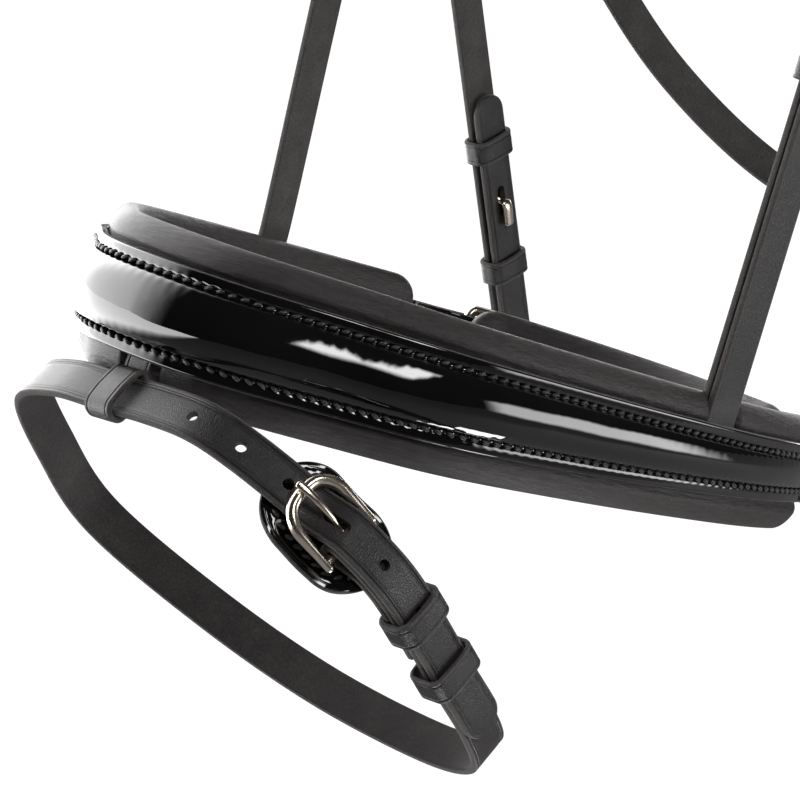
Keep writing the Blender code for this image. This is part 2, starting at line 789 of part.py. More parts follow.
def patent_outline(length_total):
    """Section of the patent strap: flat edges with the raised roll between them."""

    def section(place, total):
        from_nose = abs(place - total / 2)
        reach = length_total / 2
        share = min(1.0, from_nose / reach)
        height = PATENT_FRONT_HEIGHT + (PATENT_REAR_HEIGHT - PATENT_FRONT_HEIGHT) * smooth(share)
        left = float(np.clip((reach - ROLL_END - from_nose) / (reach - ROLL_END), 0, 1))
        rise = ROLL_RISE * left**ROLL_FALL_SHARE
        roll = ROLL_HEIGHT / 2 * (ROLL_NARROW_SHARE + (1 - ROLL_NARROW_SHARE) * left)
        half = height / 2
        up = PATENT_THICKNESS / 2
        points = [(half, up)]
        for w, n in ROLL_SECTION_SHARES:
            points.append((w * roll, up + n * rise))
        points += [(-half, up), (-half, -up), (half, -up)]
        return np.array(points)

    return section


def cushion(half_width, half_depth, centre, total, sides=14):
    """Section of a pad: full in the middle, drawn in at its edges and its ends."""
    angles = np.linspace(0, 2 * math.pi, sides, endpoint=False) + math.pi / sides
    c, s = np.cos(angles), np.sin(angles)
    shape_w = np.sign(c) * np.abs(c) ** CUSHION_POWER_SHARE
    shape_n = np.sign(s) * np.abs(s) ** CUSHION_POWER_SHARE

    def section(place, length):
        share = abs(place - length / 2) / (length / 2)
        distance = min(place, length - place)
        inside = max(0.0, 1 - distance / PAD_ROUND)
        arc = math.sqrt(1 - inside**2)
        width, offset = half_width(share)
        wide = width - PAD_ROUND * PAD_CORNER_SHARE * (1 - arc)
        deep = half_depth * (PAD_TIP_SHARE + (1 - PAD_TIP_SHARE) * arc)
        return np.stack([offset + wide * shape_w, centre + deep * shape_n], axis=1)

    return section


def pad_width(share):
    """Half height of the noseband pad and how far its middle is above the patent's."""
    height = PAD_FRONT_HEIGHT + (PAD_REAR_HEIGHT - PAD_FRONT_HEIGHT) * smooth(share)
    return height / 2, -PAD_DROP * share**2


def end_marks(length):
    """Extra places where a pad's rounded ends need them."""
    reach = [PAD_ROUND * share for share in PAD_END_SHARES]
    return reach + [length - r for r in reach]


def build_noseband():
    """Patent strap, pad, rings and the flash loop's seat."""
    route = noseband_route()
    bar_lift = -(PATENT_THICKNESS + GAP / 2)
    reach = RING_LEAD
    s, n = chape_track(RING_TURN, reach, RING_WIRE, PATENT_THICKNESS)
    far = route.line(-s, n + bar_lift)
    near = route.line(route.length + s[::-1], n[::-1] + bar_lift)
    middle = np.linspace(reach, route.length - reach, 400)[1:-1]
    main = route.line(middle, np.full(len(middle), -PATENT_THICKNESS / 2))
    line = joined(far, main, near)
    profiled("noseband_strap", line, patent_outline(route.length), "patent", tolerance=PAD_TOLERANCE)
    ring_frame("crank_ring_far", route, 0.0, -1, bar_lift)
    ring_frame("crank_ring_near", route, route.length, 1, bar_lift)
    depth = PATENT_THICKNESS + GAP + PAD_THICKNESS / 2
    places = np.linspace(PAD_SETBACK, route.length - PAD_SETBACK, 400)
    outline = cushion(pad_width, PAD_THICKNESS / 2, 0.0, route.length)
    pad_line = route.line(places, np.full(len(places), -depth))
    total = float(np.sum(np.linalg.norm(np.diff(pad_line[0], axis=0), axis=1)))
    marks = end_marks(total)
    pad = profiled("noseband_pad", pad_line, outline, "padding", tolerance=PAD_TOLERANCE, marks=marks)
    return route, pad


# Head
def head_route():
    """The inner face of the crown pad, from the far browband join over the poll to the near one."""
    radius = CROWN_HALF_WIDTH - CROWN_FLAT
    angles = np.linspace(0, math.pi / 2, 60)
    side = np.stack(
        [
            CROWN_FLAT + radius * np.sin(angles),
            -CROWN_LEAN * (1 - np.cos(angles)),
            -CROWN_DROP * (1 - np.cos(angles)),
        ],
        axis=1,
    )
    flat = np.linspace(-CROWN_FLAT, CROWN_FLAT, 12)[1:-1, None] * X
    return Route(np.vstack([side[::-1] * MIRROR, flat, side]), Y)


def crown_outline(place, total):
    """Section of the crown pad: flat beneath, a channel for the noseband's strap on top."""
    distance = min(place, total - place)
    arc = math.sqrt(1 - max(0.0, 1 - distance / PAD_ROUND) ** 2)
    half = CROWN_PAD_WIDTH / 2 - PAD_ROUND * PAD_CORNER_SHARE * (1 - arc)
    channel = STRAP_WIDTH / 2 + LOOP_CLEARANCE
    floor = CROWN_PAD_THICKNESS
    top = CROWN_PAD_THICKNESS + STRAP_THICKNESS + GAP
    right = [(w * half, n * top) for w, n in CROWN_SECTION_SHARES] + [(channel, top), (channel, floor)]
    return np.array(right + [(-w, n) for w, n in right[::-1]])


def build_head(noseband, pad):
    """Crown pad, headpiece, headstrap, throatlash, cheekpieces and browband."""
    head = head_route()
    middle = head.length / 2
    pad_s = np.linspace(middle - CROWN_PAD_LENGTH / 2, middle + CROWN_PAD_LENGTH / 2, 240)
    pad_line = head.line(pad_s)
    total = float(np.sum(np.linalg.norm(np.diff(pad_line[0], axis=0), axis=1)))
    marks = end_marks(total) + [total / 2 - CROWN_FLAT, total / 2 + CROWN_FLAT]
    profiled("crown_pad", pad_line, crown_outline, "padding", False, PAD_TOLERANCE, marks)

    strap_n = CROWN_PAD_THICKNESS + GAP + STRAP_THICKNESS / 2
    piece_n = CROWN_PAD_THICKNESS + GAP + HEADPIECE_CLEARANCE + STRAP_THICKNESS + HEADPIECE_THICKNESS / 2
    lane_w = (LANE_WIDTH + HEADPIECE_SLIT) / 2
    hanger_s = place_at_depth(noseband, HANGER_PLACE)

    near_hanger = hanger_route(head, noseband, hanger_s, strap_n, LAYER * 2)
    far_hanger = hanger_route(head, noseband, hanger_s, strap_n, LAYER)
    build_hanger(head, near_hanger, far_hanger, strap_n, pad)

    cheek = cheek_route(head, piece_n, lane_w)
    throat = throat_route(head, piece_n, lane_w)
    headpiece = build_headpiece(head, cheek, throat, piece_n, lane_w)
    for side, name in ((1, "near"), (-1, "far")):
        build_cheek(name, cheek if side > 0 else mirrored(cheek), headpiece)
    buckle(
        "throat", throat, THROAT_BUCKLE_DROP, 1, headpiece, headpiece,
        THROAT_KEEPER, THROAT_RUNNER, holes=(-2, -1, 1, 2, 3),
    )
    build_browband(head, piece_n, lane_w)


def mirrored(route):
    """The same route on the other side, with its normal still outwards."""
    return Route(route.points * MIRROR, -(route.widths * MIRROR))


def hanger_route(head, noseband, hanger_s, strap_n, half_depth):
    """Down the near side from the browband join into the seam behind the patent strap."""
    depth = -(PATENT_THICKNESS + GAP + half_depth)
    tangent = noseband.axes(hanger_s)[0]
    start = head.at(head.length - HANGER_LEAD * np.array(HANGER_START_SHARES), strap_n)
    top = head.at(head.length, strap_n)[0]
    heights = (HANGER_SEAT_UP, HANGER_SEAT_UP / 2, -HANGER_SEAT_DOWN)
    seat = [noseband.at(hanger_s, depth, w)[0] for w in heights]
    between = [top + (seat[0] - top) * share for share in HANGER_MIDDLE_SHARES]
    points = curve_through(np.vstack([start, [top], between, seat]))
    share = smooth(np.linspace(0, 1, len(points)))[:, None]
    return Route(points, Y * (1 - share) + tangent * share)


def build_hanger(head, near, far_side, strap_n, pad):
    """The noseband's carrier: near hanger with its buckle, and the strap over the crown."""
    heel = near.length - HANGER_BUCKLE_RISE
    reach = near.length - heel
    s, n = chape_track(reach, reach)
    hanger = strap("noseband_hanger", near.line(heel - s, n))
    far = mirrored(far_side)
    up = np.linspace(far.length, HANGER_LEAD, 200)
    up_points, up_widths = far.line(up)
    over = np.linspace(HANGER_LEAD, head.length - HANGER_LEAD, 300)
    s, n = billet_track(heel - HANGER_LEAD, HANGER_TIP)
    lead = smooth((s - BUCKLE_LENGTH) / FOLD_LEAD / 2)
    down = near.line(heel - s, n * (1 - lead))
    line = joined((up_points, -up_widths), head.line(over, np.full(len(over), strap_n)), down)
    headstrap = strap("noseband_headstrap", line, tips=(False, True))
    buckle("hanger", near, heel, -1, hanger, headstrap, HANGER_KEEPER, HANGER_RUNNER)
    side = STRAP_WIDTH / 2 + SLOT_CLEARANCE
    for name, route, thick in (("near", near, 2 * STRAP_THICKNESS + GAP), ("far", far, STRAP_THICKNESS)):
        s = np.linspace(route.length - POCKET_DEPTH, route.length + SLOT_CLEARANCE, 5)
        points, widths = route.line(s)
        half = thick / 2 + SLOT_CLEARANCE
        rings = []
        for point, width, place in zip(points, widths, s):
            normal = route.axes(place)[2]
            outer = half + OVERRUN
            rings.append(
                [
                    point + width * side + normal * outer,
                    point - width * side + normal * outer,
                    point - width * side - normal * half,
                    point + width * side - normal * half,
                ]
            )
        verts, faces = skin(np.array(rings))
        cut(pad, cutter(f"hanger_pocket_{name}", verts, faces))


def cheek_route(head, piece_n, lane_w):
    """Straight down the near cheek from the front lane of the headpiece to the bit loop."""
    top = head.at(head.length, piece_n - FRONT_LAYER, -lane_w)[0]
    bottom = top - np.array([CHEEK_DRAW_IN, 0.0, CHEEK_DROP])
    bottom[1] = CHEEK_BEHIND_NOSE - NOSE_REACH
    share = np.linspace(0, 1, 60)[:, None]
    return Route(top + (bottom - top) * share, Y)


def throat_route(head, piece_n, lane_w):
    """From the near rear lane down under the throat and up the far side."""
    top = head.at(head.length, piece_n - FRONT_LAYER, lane_w)[0]
    down = np.array([0.0, math.sin(THROAT_LEAN), -math.cos(THROAT_LEAN)])
    half = np.array([(x * top[0], v * THROAT_DROP) for x, v in THROAT_SHARES])
    plan = curve_through(np.vstack([half, half[-2::-1] * (-1, 1)]))
    points = top * (0, 1, 1) + plan[:, :1] * X + plan[:, 1:] * down
    return Route(points, np.cross(X, down))


def rings_of(line, width, thickness, tips=(False, False)):
    """Four-cornered sections of a strap along a line."""
    tip = tuple(width * TIP_SHARE if wanted else 0.0 for wanted in tips)
    places, centre, across, normal = stations(*line, tips=tip)
    share = tip_share(places, places[-1], tip)[:, None]
    half, up = width / 2 * share, thickness / 2
    return np.stack(
        [
            centre - across * half + normal * up,
            centre + across * half + normal * up,
            centre + across * half - normal * up,
            centre - across * half - normal * up,
        ],
        axis=1,
    )


def build_headpiece(head, cheek, throat, piece_n, lane_w):
    """One strap over the crown, slit on each side into a cheek tail and a throat tail."""
    middle = head.length / 2
    dense = np.linspace(middle - SLIT_START, middle + SLIT_START, 241)
    shared = dense[bend_places(head.at(dense, piece_n), dense, BEND_TOLERANCE)]
    after = np.linspace(middle + SLIT_START, head.length - TAIL_LEAD, 5)
    front_merged = rings_at(head, shared, piece_n, -lane_w)
    rear_merged = rings_at(head, shared, piece_n, lane_w)

    cheek_heel = CHEEK_BUCKLE_DROP
    s, n = billet_track(cheek_heel - TAIL_LEAD, CHEEK_TIP)
    points, widths = cheek.line(cheek_heel - s, n)
    start = head.at(after, piece_n, -lane_w)
    cheek_near = blended(start, head.line(after)[1], points, widths)
    cheek_far = (cheek_near[0] * MIRROR, -cheek_near[1])

    s, n = chape_track(TURN_BACK, THROAT_BUCKLE_DROP - TAIL_LEAD)
    points, widths = throat.line(THROAT_BUCKLE_DROP + s[::-1], n[::-1])
    start = head.at(after, piece_n, lane_w)
    throat_near = blended(start, head.line(after)[1], points, widths)

    s, n = billet_track(throat.length - THROAT_BUCKLE_DROP - TAIL_LEAD, THROAT_TIP)
    points, widths = throat.line(THROAT_BUCKLE_DROP + s, n)
    throat_far = blended(start * MIRROR, -head.line(after)[1], points, -widths)

    tails = {
        "cheek_near": (cheek_near, (False, True)),
        "cheek_far": (cheek_far, (False, True)),
        "throat_near": (throat_near, (False, False)),
        "throat_far": (throat_far, (False, True)),
    }
    return split_strap("headpiece", front_merged, rear_merged, tails)


def blended(start, start_widths, points, widths):
    """Joins two stretches with a smooth bend between them."""
    before = unit(start[-1] - start[-2])
    after = unit(points[1] - points[0])
    distance = np.linalg.norm(points[0] - start[-1])
    u = np.linspace(0, 1, 14)[1:-1, None]
    bend = (
        (2 * u**3 - 3 * u**2 + 1) * start[-1]
        + (u**3 - 2 * u**2 + u) * before * distance
        + (3 * u**2 - 2 * u**3) * points[0]
        + (u**3 - u**2) * after * distance
    )
    bend_widths = (1 - u) * start_widths[-1] + u * widths[0]
    return joined((start, start_widths), (bend, bend_widths), (points, widths))


def rings_at(route, s, n, w):
    """Four-cornered sections of one lane of the headpiece."""
    rings = []
    for place in s:
        tangent, width, normal = route.axes(place)
        middle = route.at(place, n, w)[0]
        half, up = LANE_WIDTH / 2, HEADPIECE_THICKNESS / 2
        rings.append(
            [
                middle - width * half + normal * up,
                middle + width * half + normal * up,
                middle + width * half - normal * up,
                middle - width * half - normal * up,
            ]
        )
    return np.array(rings)


def split_strap(name, front, rear, tails):
    """A wide strap with a slit at each end: two merged lanes and four tails."""
    verts = []
    faces = []

    def put(rings):
        first = len(verts)
        verts.extend(rings.reshape(-1, 3))
        return [first + 4 * k for k in range(len(rings))]

    def sleeve(a, b):
        for k in range(4):
            m = (k + 1) % 4
            faces.append((a + k, b + k, b + m, a + m))

    f = put(front)
    r = put(rear)
    for i in range(len(f) - 1):
        a, b = f[i], f[i + 1]
        c, d = r[i], r[i + 1]
        faces.append((a, b, b + 1, a + 1))
        faces.append((a + 3, a + 2, b + 2, b + 3))
        faces.append((a, a + 3, b + 3, b))
        faces.append((c, d, d + 1, c + 1))
        faces.append((c + 3, c + 2, d + 2, d + 3))
        faces.append((c + 1, d + 1, d + 2, c + 2))
        faces.append((a + 1, b + 1, d, c))
        faces.append((a + 2, c + 3, d + 3, b + 2))
    faces.append((f[0] + 1, r[0], r[0] + 3, f[0] + 2))
    faces.append((f[-1] + 1, f[-1] + 2, r[-1] + 3, r[-1]))
    starts = {"cheek_near": f[-1], "cheek_far": f[0], "throat_near": r[-1], "throat_far": r[0]}
    for tail, start in starts.items():
        line, tips = tails[tail]
        rings = rings_of(line, LANE_WIDTH, STRAP_THICKNESS, tips)[1:]
        if tail.endswith("far"):
            rings = rings[:, [1, 0, 3, 2]]
        places = [start] + put(rings)
        for a, b in zip(places, places[1:]):
            sleeve(a, b)
        last = places[-1]
        faces.append((last, last + 1, last + 2, last + 3))
    return add_object(name, np.array(verts), faces, "leather")


def build_cheek(side, route, headpiece):
    """One cheekpiece: its strap, buckle, hook stud and two billet loops."""
    heel = CHEEK_BUCKLE_DROP
    bottom = route.length
    s, n = chape_track(TURN_BACK, bottom - heel - BIT_LOOP_RADIUS * 2)
    points, widths = route.line(heel - s, n)
    radius = BIT_LOOP_RADIUS
    start = heel - s[-1]
    drop = np.linspace(start, bottom, 12)[1:]
    outer_n = LAYER + (radius - LAYER - BILLET_GAP / 2) * smooth((drop - start) / (bottom - start))
    angles = np.linspace(0, math.pi, 16)[1:]
    turn_s = bottom + radius * np.sin(angles)
    centre_n = -BILLET_GAP / 2
    turn_n = centre_n + radius * np.cos(angles)
    back = np.linspace(bottom, start, 12)[1:]
    spread = (radius - LAYER - BILLET_GAP / 2) * smooth((back - start) / (bottom - start))
    back_n = centre_n * 2 - LAYER - spread
    up = np.linspace(start, bottom - BILLET_LENGTH, 60)[1:]
    up_n = np.full(len(up), 2 * centre_n - LAYER)
    loop_s = np.r_[drop, turn_s, back, up]
    loop_n = np.r_[outer_n, turn_n, back_n, up_n]
    loop = route.line(loop_s, loop_n)
    cheek = strap("cheek_" + side, joined((points, widths), loop), tips=(False, True))
    buckle(
        "cheek_" + side, route, heel, -1, cheek, headpiece,
        CHEEK_KEEPER, CHEEK_RUNNER, holes=(-2, -1, 1),
    )
    low = 2 * centre_n - LAYER - STRAP_THICKNESS / 2 - LOOP_CLEARANCE
    high = LAYER + STRAP_THICKNESS / 2 + LOOP_CLEARANCE
    wide = STRAP_WIDTH / 2 + LOOP_CLEARANCE
    for number, rise in ((1, BILLET_LOOP_HIGH), (2, BILLET_LOOP_LOW)):
        name = f"billet_loop_{side}_{number}"
        band(name, route, bottom - rise, (-wide, wide), (low, high), thickness=BILLET_LOOP_THICKNESS)
    build_hook(side, route, bottom - HOOK_RISE, cheek, 2 * centre_n - LAYER)


def build_hook(side, route, s, cheek, inner_n):
    """The hook stud: a rivet head outside, a shank through both layers and a hook inside."""
    tangent, width, normal = route.axes(s)
    outer = LAYER + STRAP_THICKNESS / 2 + GAP
    face = inner_n - STRAP_THICKNESS / 2 - GAP
    n = [outer + HOOK_HEAD_RISE, outer, outer, (outer + face) / 2, face - HOOK_RADIUS / 2]
    radii = [HOOK_HEAD_RADIUS * HOOK_CROWN_SHARE, HOOK_HEAD_RADIUS, HOOK_RADIUS, HOOK_RADIUS, HOOK_RADIUS]
    along = [0.0] * len(n)
    n[1] += GAP
    for share_s, share_n in HOOK_SHARES:
        along.append(HOOK_REACH * share_s)
        n.append(face - HOOK_RADIUS * share_n)
        radii.append(HOOK_RADIUS)
    radii[-1] = HOOK_RADIUS * HOOK_TIP_SHARE
    middle = route.at(s, 0.0)[0]
    points = [middle + tangent * a + normal * b for a, b in zip(along, n)]
    wire(f"hook_stud_{side}", points, radii, sides=8, side_hint=width)
    outline = oval(HOOK_SLOT_LENGTH, 2 * (HOOK_RADIUS + SLOT_CLEARANCE))
    shape = prism(middle + normal * inner_n, tangent, width, normal, outline, STRAP_THICKNESS / 2 + GAP)
    cut(cheek, cutter(f"hook_slot_{side}", *shape))
    round_hole = oval(2 * (HOOK_RADIUS + GAP), 2 * (HOOK_RADIUS + GAP), 8)
    shape = prism(middle + normal * LAYER, tangent, width, normal, round_hole, STRAP_THICKNESS / 2 + GAP)
    cut(cheek, cutter(f"hook_hole_{side}", *shape))


def build_browband(head, piece_n, lane_w):
    """The browband, its raised front and the loop at each end."""
    place = head.length - BROWBAND_LIFT
    edge = lane_w + LANE_WIDTH / 2 + LOOP_CLEARANCE
    low = CROWN_PAD_THICKNESS - LOOP_CLEARANCE
    high = piece_n + HEADPIECE_THICKNESS / 2 + LOOP_CLEARANCE
    band("browband_loop_near", head, place, (-edge, edge), (low, high), length=BROWBAND_WIDTH)
    band("browband_loop_far", head, head.length - place, (-edge, edge), (low, high), length=BROWBAND_WIDTH)
    middle = (low + high) / 2
    start = head.at(place, middle, -edge - LOOP_THICKNESS - GAP)[0]
    tangent, width, normal = head.axes(place)
    lead = start - width * LOOP_WIDTH
    reach = BROWBAND_REACH
    half = [start, lead]
    for share_x, share_y in BROWBAND_SHARES[1:]:
        drop = np.array([0.0, -reach * share_y, BROWBAND_DIP * share_y])
        half.append(lead * (share_x, 1, 1) + drop)
    half = np.array(half)
    route = Route(curve_through(np.vstack([half * MIRROR, half[-2::-1]])), Z)
    half_width, up = BROWBAND_WIDTH / 2, BROWBAND_THICKNESS / 2

    def flat(place, total):
        return np.array([(half_width, up), (-half_width, up), (-half_width, -up), (half_width, -up)])

    s = np.linspace(0, route.length, 300)
    profiled("browband", route.line(s), flat, "leather", smooth_shaded=False)

    def roll(place, total):
        distance = min(place, total - place)
        full = smooth(distance / BROWBAND_ROLL_TAPER)
        wide = BROWBAND_ROLL_WIDTH / 2 * (ROLL_NARROW_SHARE + (1 - ROLL_NARROW_SHARE) * full)
        rise = BROWBAND_ROLL_RISE * (TIP_END_SHARE + (1 - TIP_END_SHARE) * full)
        base = up + GAP
        points = [(wide, base)] + [(w * wide, base + h * rise) for w, h in ROLL_SECTION_SHARES[1:-1]]
        return np.array(points + [(-wide, base)])

    s = np.linspace(BROWBAND_ROLL_INSET, route.length - BROWBAND_ROLL_INSET, 300)
    profiled("browband_roll", route.line(s), roll, "patent")


def build_crank(noseband):
    """Chin strap through both rings, its buckle, and the chin pad."""
    lift = -(PATENT_THICKNESS + GAP / 2)
    far = noseband.at(-RING_LENGTH, lift)[0]
    near = noseband.at(noseband.length + RING_LENGTH, lift)[0]
    middle = (far + near) / 2
    points = []
    for share in np.linspace(-1, 1, 9):
        points.append(middle + (near - far) / 2 * share + REARWARD * CHIN_SAG * (1 - share**2))
    route = Route(curve_through(points), -BAND_UP)
    radius = RING_WIRE + GAP + STRAP_THICKNESS / 2
    end = route.length
    s, n = chape_track(TURN_BACK * CRANK_TURN_SHARE, FOLD_LEAD, RING_WIRE, STRAP_THICKNESS)
    far_fold = route.line(-s, n)
    run = np.linspace(FOLD_LEAD, end - FOLD_LEAD, 200)[1:]
    run_line = route.line(run, np.full(len(run), LAYER))
    return_layer = LAYER + STRAP_THICKNESS + GAP
    dip = np.linspace(end - FOLD_LEAD, end, 20)[1:-1]
    dip_line = route.line(dip, LAYER - (LAYER + radius) * smooth((dip - end) / FOLD_LEAD + 1))
    angles = np.linspace(-math.pi / 2, math.pi / 2, 13)
    turn_line = route.line(end + radius * np.cos(angles), radius * np.sin(angles))
    heel = end * CRANK_HEEL_SHARE
    base = crank_base(heel, return_layer)
    along = np.linspace(0, end, 300)
    over = route.lifted(along, base(along))
    offset = over_place(route, over, heel)
    s_b, n_b = billet_track(over_place(route, over, end - FOLD_LEAD) - offset, CRANK_TIP)
    billet = over.line(offset + s_b, n_b)
    back = np.linspace(end, end - FOLD_LEAD, 20)[1:-1]
    back_n = radius + (base(end - FOLD_LEAD) + FRONT_LAYER - radius) * smooth((end - back) / FOLD_LEAD)
    back_line = route.line(back, back_n)
    line = joined(far_fold, run_line, dip_line, turn_line, back_line, billet)
    crank = strap("crank_strap", line, tips=(False, True))
    s_c, n_c = chape_track(CRANK_CHAPE_LENGTH, CRANK_CHAPE_LENGTH)
    chape = strap("crank_chape", over.line(offset + s_c, n_c))
    under = STRAP_THICKNESS + 2 * GAP
    buckle("crank", over, offset, 1, chape, crank, CRANK_KEEPER, CRANK_RUNNER, holes=(-1, 1, 2), under=under)
    depth = STRAP_THICKNESS / 2 + LAYER + GAP + CHIN_PAD_THICKNESS / 2 + CHIN_PAD_CLEAR

    def chin_width(share):
        return CHIN_PAD_HEIGHT / 2, 0.0

    beside = np.linspace(CHIN_PAD_REACH, CHIN_PAD_LEAD - RING_LENGTH, 40)
    points, widths = noseband.line(beside, np.full(len(beside), lift - depth))
    s = np.linspace(CHIN_PAD_LEAD, end - CHIN_PAD_SETBACK, 240)
    line = blended(points, -widths, *route.line(s, np.full(len(s), -depth)))
    total = float(np.sum(np.linalg.norm(np.diff(line[0], axis=0), axis=1)))
    outline = cushion(chin_width, CHIN_PAD_THICKNESS / 2, 0.0, total)
    profiled("chin_pad", line, outline, "padding", tolerance=PAD_TOLERANCE, marks=end_marks(total))


def over_place(route, over, s):
    """Length along the lifted route beside one place of the route below."""
    return float(s / route.length * over.length)


def crank_base(heel, return_layer):
    """Height of the buckle's own guide line over the chin strap."""
    outer = LAYER + STRAP_THICKNESS / 2 + GAP
    at_heel = outer + FOLD_RADIUS + STRAP_THICKNESS / 2
    behind = outer + LAYER + STRAP_THICKNESS / 2
    ahead = return_layer - FRONT_LAYER

    def base(s):
        s = np.asarray(s, float)
        front = at_heel + (ahead - at_heel) * smooth((s - heel - BAR_RADIUS) / (BUCKLE_LENGTH + FOLD_LEAD))
        rear = behind + (at_heel - behind) * smooth(1 + (s - heel) / FOLD_LEAD)
        return np.where(s > heel, front, rear)

    return base


def build_flash(pad):
    """The flash strap's closed ring, its loop under the nose, buckle and guard."""
    down = np.array([0.0, math.sin(FLASH_LEAN), -math.cos(FLASH_LEAN)])
    axis = np.array([0.0, -math.cos(FLASH_LEAN), -math.sin(FLASH_LEAN)])
    origin = NOSE - BAND_UP * FLASH_DROP + REARWARD * FLASH_SET_BACK
    points = [origin + X * a * FLASH_SPAN + down * b * FLASH_SPAN for a, b in FLASH_ROUTE_SHARES]
    route = Route(curve_through(points, closed=True), axis, closed=True)
    total = route.length
    s, n = chape_track(TURN_BACK, FOLD_LEAD)
    fold = route.line(s, n)
    run = np.linspace(-FOLD_LEAD, BUCKLE_LENGTH * 2 - total, 700)[1:]
    run_line = route.line(run, LAYER + (FRONT_LAYER - LAYER) * smooth(-run / total))
    s, n = billet_track(BUCKLE_LENGTH * 2, FLASH_TIP)
    billet = route.line(s[1:], n[1:])
    flash = strap("flash_strap", joined(fold, run_line, billet), tips=(False, True))
    fittings = buckle(
        "flash", route, 0.0, 1, flash, flash, FLASH_KEEPER, FLASH_RUNNER,
        pitch=FLASH_HOLE_PITCH, holes=(-2, -1, 1, 2, 3),
    )
    guard_s = np.linspace(GUARD_FRONT, -GUARD_REAR, 80)
    low = FOLD_RADIUS + STRAP_THICKNESS / 2 + GAP + GUARD_THICKNESS / 2
    behind = LAYER + STRAP_THICKNESS / 2 + GAP + GUARD_THICKNESS / 2
    ahead = STRAP_THICKNESS / 2 - FRONT_LAYER + GAP + GUARD_THICKNESS / 2 + GUARD_DROP
    guard_n = np.where(
        guard_s > 0,
        -(low + (ahead - low) * smooth((guard_s - FOLD_RADIUS) / BUCKLE_LENGTH)),
        -(low + (behind - low) * smooth((-guard_s - FOLD_RADIUS) / FOLD_LEAD)),
    )
    line = route.line(guard_s, guard_n)
    guard = strap("flash_guard", line, GUARD_WIDTH, GUARD_THICKNESS, (True, True), "patent")
    at_nose = float(route.lengths[np.argmin(np.linalg.norm(route.points - origin, axis=1))])
    pivot = bpy.data.objects.new("flash_pivot", None)
    bpy.context.collection.objects.link(pivot)
    pivot.location = Vector(route.at(at_nose, LAYER)[0])
    carry(pivot, flash, guard, *fittings)
    low = LAYER - STRAP_THICKNESS / 2 - FLASH_LOOP_PLAY
    high = LAYER + STRAP_THICKNESS / 2 + FLASH_LOOP_PLAY
    side = STRAP_WIDTH / 2 + LOOP_CLEARANCE
    loop = band("flash_loop", route, at_nose, (-side, side), (low, high), length=FLASH_LOOP_WIDTH)
    depth = PATENT_THICKNESS + TAB_CLEARANCE + LOOP_THICKNESS / 2
    top = NOSE + REARWARD * depth - BAND_UP * (PATENT_FRONT_HEIGHT / 2 - FLASH_TAB_TUCK)
    bottom = route.at(at_nose, (low + high) / 2, -side - LOOP_THICKNESS / 2)[0]
    half = FLASH_LOOP_WIDTH / 2

    def tab(name, extra, front):
        along = unit(bottom - top)
        rearward = unit(np.cross(X, along))
        side_on = X * (half - TAB_INSET + extra)
        rise = LOOP_THICKNESS / 2 + extra
        rings = []
        for point in (top - along * extra, bottom + along * extra):
            rear_point = point + rearward * rise
            front_point = point - rearward * (rise + front)
            rear_pair = [rear_point - side_on, rear_point + side_on]
            rings.append([*rear_pair, front_point + side_on, front_point - side_on])
        return cutter(name, *skin(np.array(rings)))

    joint = loop.modifiers.new("tab", "BOOLEAN")
    joint.operation = "UNION"
    joint.solver = "EXACT"
    joint.object = tab("flash_tab", 0.0, 0.0)
    cut(pad, tab("flash_pocket", SLOT_CLEARANCE, OVERRUN))
    cut(pad, band_room(route, at_nose, side + LOOP_THICKNESS, low - LOOP_THICKNESS, high + LOOP_THICKNESS))


def band_room(route, s, side, low, high):
    """The space that the flash loop takes out of the pad's lower edge, open to the front."""
    tangent, width, normal = route.axes(s)
    middle = route.at(s)[0]
    half = FLASH_LOOP_WIDTH / 2 + SLOT_CLEARANCE
    low, high = low - SLOT_CLEARANCE, high + SLOT_CLEARANCE
    back, front = -side - SLOT_CLEARANCE, side + OVERRUN
    rings = []
    for a in (-half, half):
        corners = ((back, low), (front, low), (front, high), (back, high))
        rings.append([middle + tangent * a + width * w + normal * n for w, n in corners])
    return cutter("flash_loop_room", *skin(np.array(rings)))


def main():
    """Clears the scene and builds every piece."""
    for old in list(bpy.data.objects):
        bpy.data.objects.remove(old, do_unlink=True)
    noseband, pad = build_noseband()
    build_head(noseband, pad)
    build_crank(noseband)
    build_flash(pad)


main()
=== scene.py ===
"""Looks of the crank noseband bridle: creased black straps, a patent noseband with
its stitched roll, soft pads, nickel buckles and a plain pale stage.

Metres, +Z up, the nose faces -Y and the near side is +X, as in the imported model.
"""
import json
import math

import bpy
import numpy as np
from bpy.props import FloatProperty, FloatVectorProperty, PointerProperty
from mathutils import Matrix

